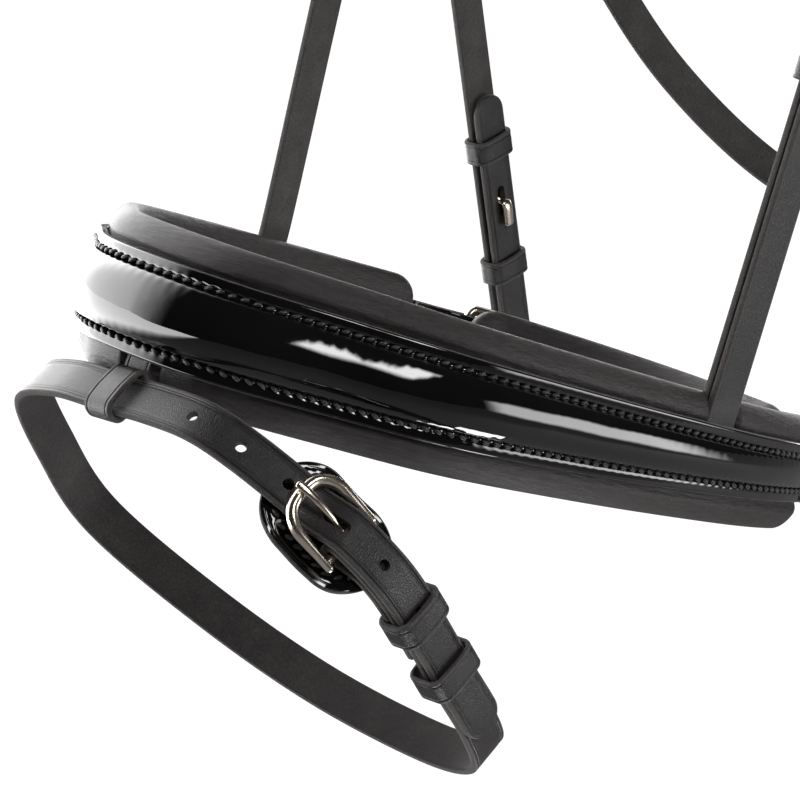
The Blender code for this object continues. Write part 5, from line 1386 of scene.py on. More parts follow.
def ring_shell_of(route, s0, flip, lift):
    """A rectangular ring of round wire with soft corners."""
    half = PATENT_REAR_HEIGHT / 2 + RING_CLEARANCE + RING_WIRE
    corner = RING_WIRE * 1.6
    turn = np.linspace(0, math.pi / 2, 9)
    quarter = np.stack([1 - np.cos(turn), 1 - np.sin(turn)], axis=1)[:, ::-1] * corner
    up_left = np.stack([quarter[:, 1], half - quarter[:, 0]], axis=1)
    up_left = up_left[np.argsort(up_left[:, 0])]
    up_right = np.stack([RING_LENGTH - up_left[::-1, 0], up_left[::-1, 1]], axis=1)
    top = np.vstack([up_left, up_right])
    sides = np.linspace(half - corner, -(half - corner), 10)[1:-1]
    right = np.stack([np.full(8, RING_LENGTH), sides], axis=1)
    left = np.stack([np.zeros(8), sides[::-1]], axis=1)
    outline = np.vstack([top, right, top[::-1] * (1, -1), left])
    tangent, width, normal = route.axes(s0)
    origin = route.at(s0, lift)[0]
    points = origin + tangent * flip * outline[:, :1] + width * outline[:, 1:]
    return tube_shell(points, RING_WIRE, closed=True, hint=normal)


def make_noseband(look, kit):
    """Patent strap with its seams, pad and crank rings."""
    line = noseband_line()
    total = line_length(line)
    route = PLAN.noseband
    run = route.length - 2 * SEAM_STOP
    count = int(round(run / look.stitch_pitch))
    seam = (total / 2 - run / 2, total / 2 + run / 2, run / count)
    places = seam_places(seam[0], seam[1], look.stitch_pitch)
    half, _, _, inset = patent_sizes(places, total)
    shells = [patent_shell(line, seam, look)]
    jitter = np.random.default_rng(4).normal(0, 0.00006, len(places))
    lift = PATENT_THICKNESS / 2 - look.seam_depth * 0.35
    for side in (-1, 1):
        w = side * (half - inset) + jitter
        shells.append(seam_on(line, places, w, lift, look, side * math.radians(look.stitch_slant), 3))
    rear = places > np.interp(PLAN.hanger_s + STRAP_WIDTH / 2, (0, route.length), (0, total))
    w = (half - inset)[rear]
    shells.append(seam_on(line, places[rear], w, lift, look, -math.radians(CROSS_SLANT), 3))
    add_piece(kit, "noseband_patent_strap", shells, "patent edge grain thread", ["noseband_strap"])
    pad = add_piece(kit, "noseband_cushion", [noseband_pad_shell(look)], "soft", ["noseband_pad"])
    for side, s0, flip in (("far", 0.0, -1), ("near", route.length, 1)):
        ring = ring_shell_of(route, s0, flip, -(PATENT_THICKNESS + GAP / 2))
        add_piece(kit, f"crank_ring_{side}_wire", [ring], "nickel", [f"crank_ring_{side}"])


# Head
def make_head(look, kit):
    """Crown pad, the strap over it and the near hanger with its buckle."""
    head, near = PLAN.head, PLAN.near_hanger
    middle = head.length / 2
    pad_s = np.linspace(middle - CROWN_PAD_LENGTH / 2, middle + CROWN_PAD_LENGTH / 2, 900)
    crown = add_piece(kit, "crown_cushion", [crown_shell(head.line(pad_s))], "soft", ["crown_pad"])
    heel = near.length - HANGER_BUCKLE_RISE
    s, n = chape_track(HANGER_BUCKLE_RISE, HANGER_BUCKLE_RISE)
    shells = [strap_shell(near.line(heel - s, n), STRAP_WIDTH, STRAP_THICKNESS, creases=HANGER_CREASES)]
    shells += chape_seams(near, heel, -1, HANGER_KEEPER + 0.007, HANGER_RUNNER - 0.007, look)
    hanger = add_piece(kit, "hanger_strap", shells, "grain edge grain thread", ["noseband_hanger"])
    punch(hanger, [slot_tool(near, heel, -1)], kit["cut"])
    far_side = PLAN.far_hanger
    up_points, up_widths = far_side.line(np.linspace(far_side.length, HANGER_LEAD, 700))
    over = head.line(np.linspace(HANGER_LEAD, head.length - HANGER_LEAD, 900), PLAN.strap_n)
    s, n = billet_track(heel - HANGER_LEAD, HANGER_TIP)
    lead = smooth((s - BUCKLE_LENGTH) / FOLD_LEAD / 2)
    line = joined((up_points, -up_widths), over, near.line(heel - s, n * (1 - lead)))
    shell = strap_shell(line, STRAP_WIDTH, STRAP_THICKNESS, tips=(False, True), coarse=0.0016)
    made = add_piece(kit, "headstrap_leather", [shell], "grain edge flesh", ["noseband_headstrap"])
    punch(made, hole_tools(near, heel, -1, HOLE_PITCH, (-2, -1, 1, 2)), kit["cut"])
    add_buckle("hanger", near, heel, -1, HANGER_KEEPER, HANGER_RUNNER, kit)


def crown_shell(line):
    """The crown pad: flat beneath, stuffed rolls on both sides of the strap's channel."""
    s = places_along(line, 0.0014, (PAD_ROUND, PAD_ROUND))
    arc = pad_arc(s, line_length(line))
    half = CROWN_PAD_WIDTH / 2 - PAD_ROUND * PAD_CORNER_SHARE * (1 - arc)
    channel = (STRAP_WIDTH / 2 + LOOP_CLEARANCE + TOOL_MARGIN) / (CROWN_PAD_WIDTH / 2)
    top = CROWN_PAD_THICKNESS + STRAP_THICKNESS + GAP
    x = np.sin(np.linspace(math.pi / 2, -math.pi / 2, 61))[None, :]
    roll = np.clip((np.abs(x) - channel) / (1 - channel), 0, 1)
    upper = top * (1 - np.abs(2 * roll - 0.9).clip(0, 1) ** 3 * 0.8)
    upper = np.where(np.abs(x) < channel, CROWN_PAD_THICKNESS, upper)
    upper = upper * (0.45 + 0.55 * (1 - np.abs(x) ** 8)) * (0.6 + 0.4 * arc)
    upper = upper + lattice(21, s[:, None] / 0.014, half * x / 0.010 + 20) * 0.0002 * (roll > 0)
    lower = 0.45 * top * smooth((np.abs(x) - 0.72) / 0.28) ** 2 * (0.6 + 0.4 * arc)
    w = half * x
    w = np.hstack([w, w[:, -2:0:-1]])
    n = np.hstack([upper, lower[:, -2:0:-1]])
    return swept_shell(line, s, w, n, np.zeros(w.shape[1], int), cap_slot=0)


def make_headpiece(look, kit):
    """The split strap over the crown with its two cheek tails and two throat tails."""
    head, cheek, throat = PLAN.head, PLAN.cheek, PLAN.throat
    piece_n, lane_w = PLAN.piece_n, PLAN.lane_w
    middle = head.length / 2
    dense = np.linspace(middle - SLIT_START, middle + SLIT_START, 900)
    whole = 2 * LANE_WIDTH + HEADPIECE_SLIT
    body = strap_shell(head.line(dense, piece_n), whole, HEADPIECE_THICKNESS, coarse=BODY_ROW)
    after = np.linspace(middle + SLIT_START - 0.002, head.length - TAIL_LEAD, 160)
    across = head.line(after)[1]
    s, n = billet_track(CHEEK_BUCKLE_DROP - TAIL_LEAD, CHEEK_TIP)
    start = head.at(after, piece_n, -lane_w)
    cheek_near = blended(start, across, *cheek.line(CHEEK_BUCKLE_DROP - s, n))
    s, n = chape_track(TURN_BACK, THROAT_BUCKLE_DROP - TAIL_LEAD)
    start = head.at(after, piece_n, lane_w)
    throat_near = blended(start, across, *throat.line(THROAT_BUCKLE_DROP + s[::-1], n[::-1]))
    s, n = billet_track(throat.length - THROAT_BUCKLE_DROP - TAIL_LEAD, THROAT_TIP)
    points, widths = throat.line(THROAT_BUCKLE_DROP + s, n)
    throat_far = blended(start * MIRROR, -across, points, -widths)

    def thinned(places):
        full = HEADPIECE_THICKNESS - 0.0001
        return full + (STRAP_THICKNESS - full) * smooth(places / TAIL_LEAD)

    cheek_far = cheek_near[0] * MIRROR, -cheek_near[1]
    tails = ((cheek_near, True), (cheek_far, True), (throat_near, False), (throat_far, True))
    shells = [
        strap_shell(facing_out(line), LANE_WIDTH, thinned, tips=(False, tip), coarse=BODY_ROW)
        for line, tip in tails
    ]
    shells += chape_seams(throat, THROAT_BUCKLE_DROP, 1, THROAT_KEEPER + 0.007, THROAT_RUNNER - 0.006, look)
    made = add_piece(kit, "headpiece_leather", shells, "grain edge flesh thread", ["headpiece"])
    tools = hole_tools(throat, THROAT_BUCKLE_DROP, 1, HOLE_PITCH, (-2, -1, 1, 2, 3))
    tools.append(slot_tool(throat, THROAT_BUCKLE_DROP, 1))
    for route in (cheek, mirrored(cheek)):
        tools += hole_tools(route, CHEEK_BUCKLE_DROP, -1, HOLE_PITCH, (-2, -1, 1))
    punch(made, tools, kit["cut"])
    add_unpunched(made, [body])


def facing_out(line):
    """The same line with its normal away from the head's middle."""
    points, widths = line
    normal = np.cross(points[1] - points[0], widths[0])
    outward = points[0] - np.array([0.0, points[0][1], points[0][2] - 0.05])
    return (points, widths) if normal @ outward > 0 else (points, -widths)


def add_unpunched(made, shells):
    """Adds closed surfaces with the same finishes to a piece that is already punched."""
    extra = mesh_object(made.name + "_more", shells, made.data.materials[:-1])
    bpy.ops.object.select_all(action="DESELECT")
    extra.select_set(True)
    made.select_set(True)
    bpy.context.view_layer.objects.active = made
    bpy.ops.object.join()


def make_throat(look, kit):
    """The throatlash's buckle and loops."""
    add_buckle("throat", PLAN.throat, THROAT_BUCKLE_DROP, 1, THROAT_KEEPER, THROAT_RUNNER, kit)


# Cheekpieces
def cheek_line(route):
    """From the turned end at the buckle down, round the bit's place and up the inside."""
    heel, bottom = CHEEK_BUCKLE_DROP, route.length
    s, n = chape_track(TURN_BACK, bottom - heel - BIT_LOOP_RADIUS * 2)
    chape = route.line(heel - s, n)
    start, centre_n = heel - s[-1], -BILLET_GAP / 2
    spread = BIT_LOOP_RADIUS - LAYER - BILLET_GAP / 2
    drop = np.linspace(start, bottom, 60)[1:]
    angles = np.linspace(0, math.pi, 60)[1:]
    back = np.linspace(bottom, start, 60)[1:]
    up = np.linspace(start, bottom - BILLET_LENGTH, 200)[1:]
    loop_s = np.r_[drop, bottom + BIT_LOOP_RADIUS * np.sin(angles), back, up]
    loop_n = np.r_[
        LAYER + spread * smooth((drop - start) / (bottom - start)),
        centre_n + BIT_LOOP_RADIUS * np.cos(angles),
        2 * centre_n - LAYER - spread * smooth((back - start) / (bottom - start)),
        np.full(len(up), 2 * centre_n - LAYER),
    ]
    return joined(chape, route.line(loop_s, loop_n))


def hook_shells(route, s, inner_n):
    """The hook stud: a domed head outside, a shank and a flat hook inside."""
    tangent, width, normal = route.axes(s)
    outer = LAYER + STRAP_THICKNESS / 2 + GAP
    face = inner_n - STRAP_THICKNESS / 2 - GAP
    middle = route.at(s, 0.0)[0]
    dome = np.linspace(0, math.pi / 2, 9)
    n_dome = outer + HOOK_HEAD_RISE * np.sin(dome[::-1])
    r_dome = HOOK_HEAD_RADIUS * np.cos(dome[::-1]) + 0.00002
    n = np.r_[n_dome, outer, outer - 0.0002, face]
    radii = np.r_[r_dome, HOOK_HEAD_RADIUS * 0.96, HOOK_RADIUS, HOOK_RADIUS]
    head = tube_shell(middle + normal * n[:, None], radii, hint=tangent, sides=28, round_ends=False)
    shares = np.array(((-0.05, 0.0), (0.0, 0.8)) + HOOK_SHARES)
    along = HOOK_REACH * shares[:, 0]
    low = face - HOOK_RADIUS * shares[:, 1]
    points = curve_through(middle + tangent * along[:, None] + normal * low[:, None], steps=6)
    grow = smooth(np.linspace(0, 3, len(points)))
    hook = tube_shell(points, HOOK_RADIUS * (0.9 + 0.8 * grow), HOOK_RADIUS * 0.8, hint=normal, sides=18)
    return [head, hook]


def make_cheeks(look, kit):
    """Both cheekpieces with their hook studs, loops and buckles."""
    for side, route in (("near", PLAN.cheek), ("far", mirrored(PLAN.cheek))):
        heel, bottom = CHEEK_BUCKLE_DROP, route.length
        inner_n = -BILLET_GAP - LAYER
        shells = [strap_shell(cheek_line(route), STRAP_WIDTH, STRAP_THICKNESS, tips=(False, True))]
        shells += chape_seams(route, heel, -1, CHEEK_KEEPER + 0.007, CHEEK_RUNNER - 0.006, look)
        made = add_piece(kit, f"cheek_{side}_leather", shells, "grain edge flesh thread", [f"cheek_{side}"])
        s = bottom - HOOK_RISE
        axes = tangent, _, normal = route.axes(s)
        middle = route.at(s)[0]
        slot = oval(HOOK_SLOT_LENGTH, 2 * (HOOK_RADIUS + SLOT_CLEARANCE))
        slit = np.array([(0.0, 0.00035), (0.0, -0.00035), (HOOK_SLIT, -0.0001), (HOOK_SLIT, 0.0001)])
        round_hole = oval(2 * (HOOK_RADIUS + GAP), 2 * (HOOK_RADIUS + GAP))
        slit_from = tangent * (HOOK_SLOT_LENGTH / 2 - TOOL_MARGIN)
        cuts = ((inner_n, 0, slot), (LAYER, 0, round_hole), (inner_n, slit_from, slit))
        tools = [slot_tool(route, heel, -1)]
        for n, shift, outline in cuts:
            tools.append(prism_shell(middle + normal * n + shift, *axes, outline, STRAP_THICKNESS / 2 + GAP))
        punch(made, tools, kit["cut"])
        add_buckle(f"cheek_{side}", route, heel, -1, CHEEK_KEEPER, CHEEK_RUNNER, kit)
        reach = STRAP_THICKNESS / 2 + LOOP_CLEARANCE
        wide = STRAP_WIDTH / 2 + LOOP_CLEARANCE
        sizes = (-wide, wide), (inner_n - reach, LAYER + reach)
        for number, rise in ((1, BILLET_LOOP_HIGH), (2, BILLET_LOOP_LOW)):
            node = f"billet_loop_{side}_{number}"
            shell = loop_shell(route, bottom - rise, *sizes, thickness=BILLET_LOOP_THICKNESS)
            add_piece(kit, node + "_leather", [shell], "grain edge edge", [node])
        hook = hook_shells(route, s, inner_n)
        add_piece(kit, f"hook_stud_{side}_metal", hook, "nickel", [f"hook_stud_{side}"])


# Browband
def make_browband(look, kit):
    """The browband with its stitched patent roll and the loop at each end."""
    head = PLAN.head
    place = head.length - BROWBAND_LIFT
    edge = PLAN.lane_w + LANE_WIDTH / 2 + LOOP_CLEARANCE
    low = CROWN_PAD_THICKNESS - LOOP_CLEARANCE
    high = PLAN.piece_n + HEADPIECE_THICKNESS / 2 + LOOP_CLEARANCE
    for side, s in (("near", place), ("far", head.length - place)):
        shell = loop_shell(head, s, (-edge, edge), (low, high), length=BROWBAND_WIDTH)
        node = f"browband_loop_{side}"
        add_piece(kit, node + "_leather", [shell], "grain edge edge", [node])
    route = browband_route(head, edge, (low + high) / 2)
    shell = strap_shell(route.line(np.linspace(0, route.length, 1400)), BROWBAND_WIDTH, BROWBAND_THICKNESS)
    add_piece(kit, "browband_leather", [shell], "grain edge grain", ["browband"])
    shells = browband_roll_shells(route, look)
    add_piece(kit, "browband_patent_roll", shells, "patent edge grain thread", ["browband_roll"])


def browband_roll_shells(route, look):
    """A narrow stitched roll along the browband that tapers to both ends."""
    line = route.line(np.linspace(BROWBAND_ROLL_INSET, route.length - BROWBAND_ROLL_INSET, 1200))
    total = line_length(line)
    base = BROWBAND_THICKNESS / 2 + GAP

    def sizes(places):
        full = smooth(np.minimum(places, total - places) / BROWBAND_ROLL_TAPER)
        wide = BROWBAND_ROLL_WIDTH / 2 * (0.55 + 0.45 * full)
        return wide, BROWBAND_ROLL_RISE * (0.12 + 0.88 * full)

    s = places_along(line, 0.0008, (BROWBAND_END_ROUND, BROWBAND_END_ROUND))
    inside = np.clip(1 - np.minimum(s, total - s) / BROWBAND_END_ROUND, 0, 1)
    ends = np.sqrt(np.clip(1 - inside**2, 0.003, 1))[:, None]
    wide, rise = (v[:, None] for v in sizes(s))
    wide = wide * ends
    rim = np.array([0.0, 0.00005, 0.00015, 0.0003, 0.0006, 0.0009, 0.0011, 0.0013, 0.0015, 0.0018])
    arch = np.cos(np.linspace(0.05, math.pi / 2, 14))
    right = np.hstack([wide - rim * ends, (wide - 0.0019 * ends) * arch])
    w = np.hstack([right, -right[:, -2::-1]])
    from_edge = wide - np.abs(w)
    x = np.clip(np.abs(w) / np.maximum(wide - 0.0018, 0.0002), 0, 1)
    n = base + BROWBAND_FLANGE * ends - edge_drop(from_edge, 0.0003)
    n = n + np.maximum(rise - BROWBAND_FLANGE, 0) * (1 - x**2) ** ROLL_POWER * ends
    n = n - 0.00025 * np.exp(-(((from_edge - BROWBAND_SEAM_INSET) / 0.0004) ** 2))
    n = n + lattice(31, s[:, None] / 0.01, w / 0.006 + 20) * 0.00005 * (1 - x**4)
    w = np.hstack([w, -wide, wide])
    n = np.hstack([n, np.full((len(s), 2), base)])
    slots = np.zeros(w.shape[1], int)
    slots[-3:] = (1, 2, 1)
    shells = [swept_shell(line, s, w, n, slots, cap_slot=0)]
    seam = seam_places(0.005, total - 0.005, look.stitch_pitch)
    inset = sizes(seam)[0] - BROWBAND_SEAM_INSET
    lift = base + BROWBAND_FLANGE - 0.00012
    for side in (-1, 1):
        slant = side * math.radians(look.stitch_slant)
        shells.append(seam_on(line, seam, side * inset, lift, look, slant, 3))
    return shells


# Crank
def make_crank(look, kit):
    """The chin strap through both rings, its buckle's chape, buckle and the chin pad."""
    route = PLAN.chin
    end = route.length
    radius = RING_WIRE + GAP + STRAP_THICKNESS / 2
    s, n = chape_track(TURN_BACK * CRANK_TURN_SHARE, FOLD_LEAD, RING_WIRE)
    far_fold = route.line(-s, n)
    run_line = route.line(np.linspace(FOLD_LEAD, end - FOLD_LEAD, 800)[1:], LAYER)
    return_layer = LAYER + STRAP_THICKNESS + GAP
    dip = np.linspace(end - FOLD_LEAD, end, 60)[1:-1]
    dip_line = route.line(dip, LAYER - (LAYER + radius) * smooth((dip - end) / FOLD_LEAD + 1))
    angles = np.linspace(-math.pi / 2, math.pi / 2, 49)
    turn_line = route.line(end + radius * np.cos(angles), radius * np.sin(angles))
    heel = end * CRANK_HEEL_SHARE
    base = crank_base(heel, return_layer)
    along = np.linspace(0, end, 1000)
    over = route.lifted(along, base(along))
    offset = heel / end * over.length
    start = (end - FOLD_LEAD) / end * over.length - offset
    s, n = billet_track(start, CRANK_TIP)
    billet = over.line(offset + s, n)
    back = np.linspace(end, end - FOLD_LEAD, 60)[1:-1]
    back_n = radius + (base(end - FOLD_LEAD) + FRONT_LAYER - radius) * smooth((end - back) / FOLD_LEAD)
    line = joined(far_fold, run_line, dip_line, turn_line, route.line(back, back_n), billet)
    shell = strap_shell(line, STRAP_WIDTH, STRAP_THICKNESS, tips=(False, True))
    strap = add_piece(kit, "crank_strap_leather", [shell], "grain edge grain thread", ["crank_strap"])
    punch(strap, hole_tools(over, offset, 1, HOLE_PITCH, (-1, 1, 2)), kit["cut"])
    s, n = chape_track(CRANK_CHAPE_LENGTH, CRANK_CHAPE_LENGTH)
    shell = strap_shell(over.line(offset + s, n), STRAP_WIDTH, STRAP_THICKNESS)
    chape = add_piece(kit, "crank_chape_leather", [shell], "grain edge grain thread", ["crank_chape"])
    punch(chape, [slot_tool(over, offset, 1)], kit["cut"])
    under = STRAP_THICKNESS + 2 * GAP
    add_buckle("crank", over, offset, 1, CRANK_KEEPER, CRANK_RUNNER, kit, under)
    depth = STRAP_THICKNESS / 2 + LAYER + GAP + CHIN_PAD_THICKNESS / 2 + CHIN_PAD_CLEAR
    beside = np.linspace(CHIN_PAD_REACH, CHIN_PAD_LEAD - RING_LENGTH, 100)
    points, widths = PLAN.noseband.line(beside, -(PATENT_THICKNESS + GAP / 2) - depth)
    s = np.linspace(CHIN_PAD_LEAD, end - CHIN_PAD_SETBACK, 700)
    pad_line = blended(points, -widths, *route.line(s, -depth))

    def half_of(share):
        return CHIN_PAD_HEIGHT / 2 + 0 * share, 0.0

    def seam(places, w, front):
        return front - CHIN_SEAM_DEPTH * np.exp(-(((places - CHIN_SEAM) / CHIN_SEAM_WIDTH) ** 2))

    def lobe(places, w, x):
        start = STRAP_WIDTH / CHIN_PAD_HEIGHT
        beyond = np.clip((np.abs(x) - start) / (1 - start), 0, 1)
        return look.pad_swell * 0.6 * smooth(beyond * 3) * (1 - beyond**2)

    shell = pad_shell(pad_line, half_of, CHIN_PAD_THICKNESS / 2, lobe, seam, 41)
    pad = add_piece(kit, "chin_cushion", [shell], "soft", ["chin_pad"])


# Flash strap
def guard_shells(line, look):
    """The stitched patent guard under the flash buckle: a beaded rim and a seam inside it."""
    total = line_length(line)
    inset, half = GUARD_SEAM_INSET, GUARD_WIDTH / 2

    def lift(s, w, from_edge):
        seam = 0.0002 * np.exp(-(((from_edge - inset) / 0.0005) ** 2))
        puff = 0.0005 * smooth((from_edge - 0.0042) / 0.003)
        crumple = lattice(51, s / 0.0022 + 7, w / 0.0022 + 30) * 0.00008
        return puff - seam + crumple * smooth((from_edge - 0.0025) / 0.002)

    body = strap_shell(
        line, GUARD_WIDTH, GUARD_THICKNESS, tips=(True, True), creases=GUARD_RIM, coarse=0.0007, lift=lift,
    )
    run, radius = total - 2 * half, half - inset
    arc = math.pi * radius
    at = seam_places(0, 2 * run + 2 * arc, look.stitch_pitch)
    on_arc = [np.clip(at - start, 0, arc) / radius for start in (run, 2 * run + arc)]
    s = half + np.clip(at, 0, run) - np.clip(at - run - arc, 0, run)
    s = s + radius * (np.sin(on_arc[0]) - np.sin(on_arc[1]))
    w = radius * (np.cos(on_arc[0]) - np.cos(on_arc[1]) + 1)
    centre, across, normal, _ = frames(line, s)
    middle = centre + across * w[:, None] + normal * (GUARD_THICKNESS / 2 + 0.0001)
    ahead = np.roll(middle, -1, axis=0) - np.roll(middle, 1, axis=0)
    lay = unit(ahead - np.sum(ahead * normal, axis=1, keepdims=True) * normal)
    side = np.cross(normal, lay)
    threads = thread_shells(middle, lay, side, normal, look, look.stitch_pitch * 0.8, slot=3)
    return [body, threads]


def make_flash(look, kit):
    """The flash strap, its guard, the loop that carries it under the nose, and its buckle."""
    route = PLAN.flash
    total = route.length
    fold = route.line(*chape_track(TURN_BACK, FOLD_LEAD))
    run = np.linspace(-FOLD_LEAD, BUCKLE_LENGTH * 2 - total, 2400)[1:]
    run_line = route.line(run, LAYER + (FRONT_LAYER - LAYER) * smooth(-run / total))
    s, n = billet_track(BUCKLE_LENGTH * 2, FLASH_TIP)
    points, widths = joined(fold, run_line, route.line(s[1:], n[1:]))
    shell = strap_shell((points, -widths), STRAP_WIDTH, STRAP_THICKNESS, tips=(False, True), coarse=0.0010)
    strap = add_piece(kit, "flash_strap_leather", [shell], "grain edge flesh thread", ["flash_strap"])
    tools = hole_tools(route, 0.0, 1, FLASH_HOLE_PITCH, (-2, -1, 1, 2, 3))
    punch(strap, tools + [slot_tool(route, 0.0, 1)], kit["cut"])
    add_buckle("flash", route, 0.0, 1, FLASH_KEEPER, FLASH_RUNNER, kit)
    guard_s = np.linspace(GUARD_FRONT, -GUARD_REAR, 240)
    below = STRAP_THICKNESS / 2 + GAP + GUARD_THICKNESS / 2
    low, behind, ahead = FOLD_RADIUS + below, LAYER + below, below - FRONT_LAYER + GUARD_DROP
    guard_n = np.where(
        guard_s > 0,
        -(low + (ahead - low) * smooth((guard_s - FOLD_RADIUS) / BUCKLE_LENGTH)),
        -(low + (behind - low) * smooth((-guard_s - FOLD_RADIUS) / FOLD_LEAD)),
    )
    points, widths = route.line(guard_s, guard_n)
    shells = guard_shells((points, -widths), look)
    add_piece(kit, "flash_guard_patent", shells, "patent edge grain thread", ["flash_guard"])
    make_flash_loop(kit)


def make_flash_loop(kit):
    """The loop that hangs from a tab behind the patent strap and carries the flash strap."""
    route, at_nose = PLAN.flash, PLAN.flash_nose
    slack = RUNNER_SLACK / 2
    play = STRAP_THICKNESS / 2 + FLASH_LOOP_PLAY + slack
    side = STRAP_WIDTH / 2 + LOOP_CLEARANCE
    inside = (LAYER - play, LAYER + play)
    band = loop_shell(route, at_nose, (-side, side), inside, FLASH_LOOP_WIDTH, LOOP_THICKNESS - slack)
    depth = PATENT_THICKNESS + TAB_CLEARANCE + LOOP_THICKNESS / 2
    top = NOSE + REARWARD * depth - BAND_UP * (PATENT_FRONT_HEIGHT / 2 - FLASH_TAB_TUCK)
    bottom = route.at(at_nose, LAYER, -side - LOOP_THICKNESS / 2)[0]
    share = np.linspace(0, 1, 40)[:, None]
    tab_line = (top + (bottom - top) * share, np.tile(X, (40, 1)))
    tab = strap_shell(tab_line, FLASH_LOOP_WIDTH - 2 * TAB_INSET, LOOP_THICKNESS, creases=((0.0014, 0.0002),))
    add_piece(kit, "flash_loop_leather", [band, tab], "grain edge edge", ["flash_loop"])


# Settings
def colour_setting(name, description, default):
    """A colour."""
    return FloatVectorProperty(
        name=name, description=description, default=default, subtype="COLOR", size=3, min=0, max=1,
    )


def number_setting(name, description, default, low, high, **kind):
    """A number between two limits, with its subtype and unit where it has them."""
    return FloatProperty(name=name, description=description, default=default, min=low, max=high, **kind)


METRES = {"subtype": "DISTANCE", "unit": "LENGTH", "precision": 5}
SHARE = {"subtype": "FACTOR"}
LAMP_LIMITS = (0, 50)


class BridleLook(bpy.types.PropertyGroup):
    """Colours and leatherwork of the bridle."""

    leather_colour: colour_setting("Leather", "Dye of the plain straps", (0.0150, 0.0132, 0.0130))
    soft_colour: colour_setting(
        "Padding leather", "Dye of the soft leather over the pads", (0.0230, 0.0195, 0.0188),
    )
    patent_colour: colour_setting("Patent", "Colour under the varnish", (0.0035, 0.0033, 0.0034))
    edge_colour: colour_setting("Edges", "Cut edges of the straps", (0.048, 0.042, 0.040))
    flesh_colour: colour_setting("Flesh side", "Napped inside of the straps", (0.034, 0.0295, 0.0285))
    cut_colour: colour_setting("Punched holes", "Raw walls of the holes", (0.050, 0.036, 0.029))
    nickel_colour: colour_setting("Nickel", "Plating of the buckles and rings", (0.74, 0.665, 0.575))
    thread_colour: colour_setting("Thread", "Waxed stitching thread", (0.020, 0.0180, 0.0175))
    leather_roughness: number_setting(
        "Leather roughness", "How matt the plain straps are", 0.40, 0.05, 1, **SHARE,
    )
    patent_roughness: number_setting(
        "Patent roughness", "How blurred the patent's reflections are", 0.035, 0, 0.5, **SHARE,
    )
    grain_size: number_setting(
        "Grain", "Size of one cell of the leather's grain", 0.0007, 0.0002, 0.005, **METRES,
    )
    grain_depth: number_setting("Grain depth", "How deep the grain looks", 1.0, 0, 3, **SHARE)
    stitch_pitch: number_setting(
        "Stitch pitch", "Length of one stitch with its gap", 0.0035, 0.001, 0.008, **METRES,
    )
    thread_size: number_setting(
        "Thread", "Diameter of the stitching thread", 0.0013, 0.0003, 0.002, **METRES,
    )
    stitch_slant: number_setting(
        "Stitch slant", "Slant of each stitch from its seam, in degrees", 24.0, 0, 45,
    )
    seam_depth: number_setting(
        "Seam depth", "How deep the stitches pull the patent in", 0.00035, 0, 0.0015, **METRES,
    )
    pucker_depth: number_setting(
        "Puckers", "Height of the puckers beside each stitch", 0.00016, 0, 0.001, **METRES,
    )
    pad_swell: number_setting(
        "Pad swell", "How far the pad swells up beside the strap that holds it", 0.0020, 0, 0.004, **METRES,
    )
    # Sets the depth of the padding leather's folds, and with them their painted shade and highlight.
    pad_fill: number_setting("Pad filling", "How full the pads are stuffed", 0.7, 0, 1, **SHARE)


class BridleStage(bpy.types.PropertyGroup):
    """Camera, floor and light."""

    lens: number_setting(
        "Lens", "Focal length of the camera on a 36 mm frame, in millimetres", 157.77, 20, 400,
    )
    floor_drop: number_setting(
        "Floor", "How far the floor lies under the poll", 0.75, 0.5, 2, **METRES,
    )
    top_light: number_setting(
        "Top light", "Brightness of the large soft light above", 1.0, *LAMP_LIMITS,
    )
    side_light: number_setting(
        "Front light", "Brightness of the strip that the near arm mirrors in front", 14.0, *LAMP_LIMITS,
    )
    rear_light: number_setting(
        "Rear light", "Brightness of the panel that the near arm mirrors behind", 6.5, *LAMP_LIMITS,
    )
    nose_light: number_setting(
        "Nose light", "Brightness of the surroundings that the nose mirrors", 7.0, *LAMP_LIMITS,
    )
    rim_light: number_setting(
        "Rim light", "Brightness of the surroundings that the edges mirror", 1.5, *LAMP_LIMITS,
    )
    gloom: number_setting("Dark side", "Brightness of the surroundings in mirrors", 0.03, 0, 2)
    sky: number_setting("Surroundings", "Strength of the even light from all round", 0.25, 0, 2)


def finishes(look):
    """Every finish of the bridle, made once and then found again by its name."""
    leather, soft = look.leather_colour, look.soft_colour
    made = {
        "grain": ("black_grain", lambda: leather_finish(look, "black_grain", leather)),
        # The padding leather's folds bring painted shade into their hollows and a painted highlight onto
        # their crests.
        "soft": ("soft_leather", lambda: leather_finish(look, "soft_leather", soft, 0.10, look.pad_fill)),
        "patent": ("black_patent", lambda: patent_finish(look)),
        "edge": ("raw_edge", lambda: edge_finish(look)),
        "flesh": ("flesh_side", lambda: flesh_finish(look)),
        "cut": ("raw_cut", lambda: cut_finish(look)),
        "nickel": ("polished_nickel", lambda: nickel_finish(look)),
        "thread": ("waxed_thread", lambda: thread_finish(look)),
    }
    return {key: bpy.data.materials.get(name) or make() for key, (name, make) in made.items()}


# Stage
def fade_edges(data, reach):
    """Fades a lamp's face towards its four edges: smooth steps over its two shares multiplied."""
    data.use_nodes = True
    add = node_adder(data.node_tree)
    face = add("NewGeometry", output="Parametric")
    rises = {}
    for slot, axis in enumerate("XY"):
        inside = add("Math", {0: add("SeparateXYZ", {"Vector": face}, axis), 1: 0.5}, operation="PINGPONG")
        rises[slot] = add("MapRange", {"Value": inside, "From Max": reach}, interpolation_type="SMOOTHSTEP")
    level = add("Math", rises, operation="MULTIPLY")
    feed(data.node_tree, data.node_tree.nodes["Emission"], {"Strength": level})


def placed(name, data, place, axes):
    """A new object at a place, with its own three axes along three directions."""
    made = bpy.data.objects.new(name, data)
    bpy.context.collection.objects.link(made)
    turn = Matrix(np.stack(axes, axis=1).tolist())
    made.matrix_world = Matrix.Translation(place) @ turn.to_4x4()
    return made


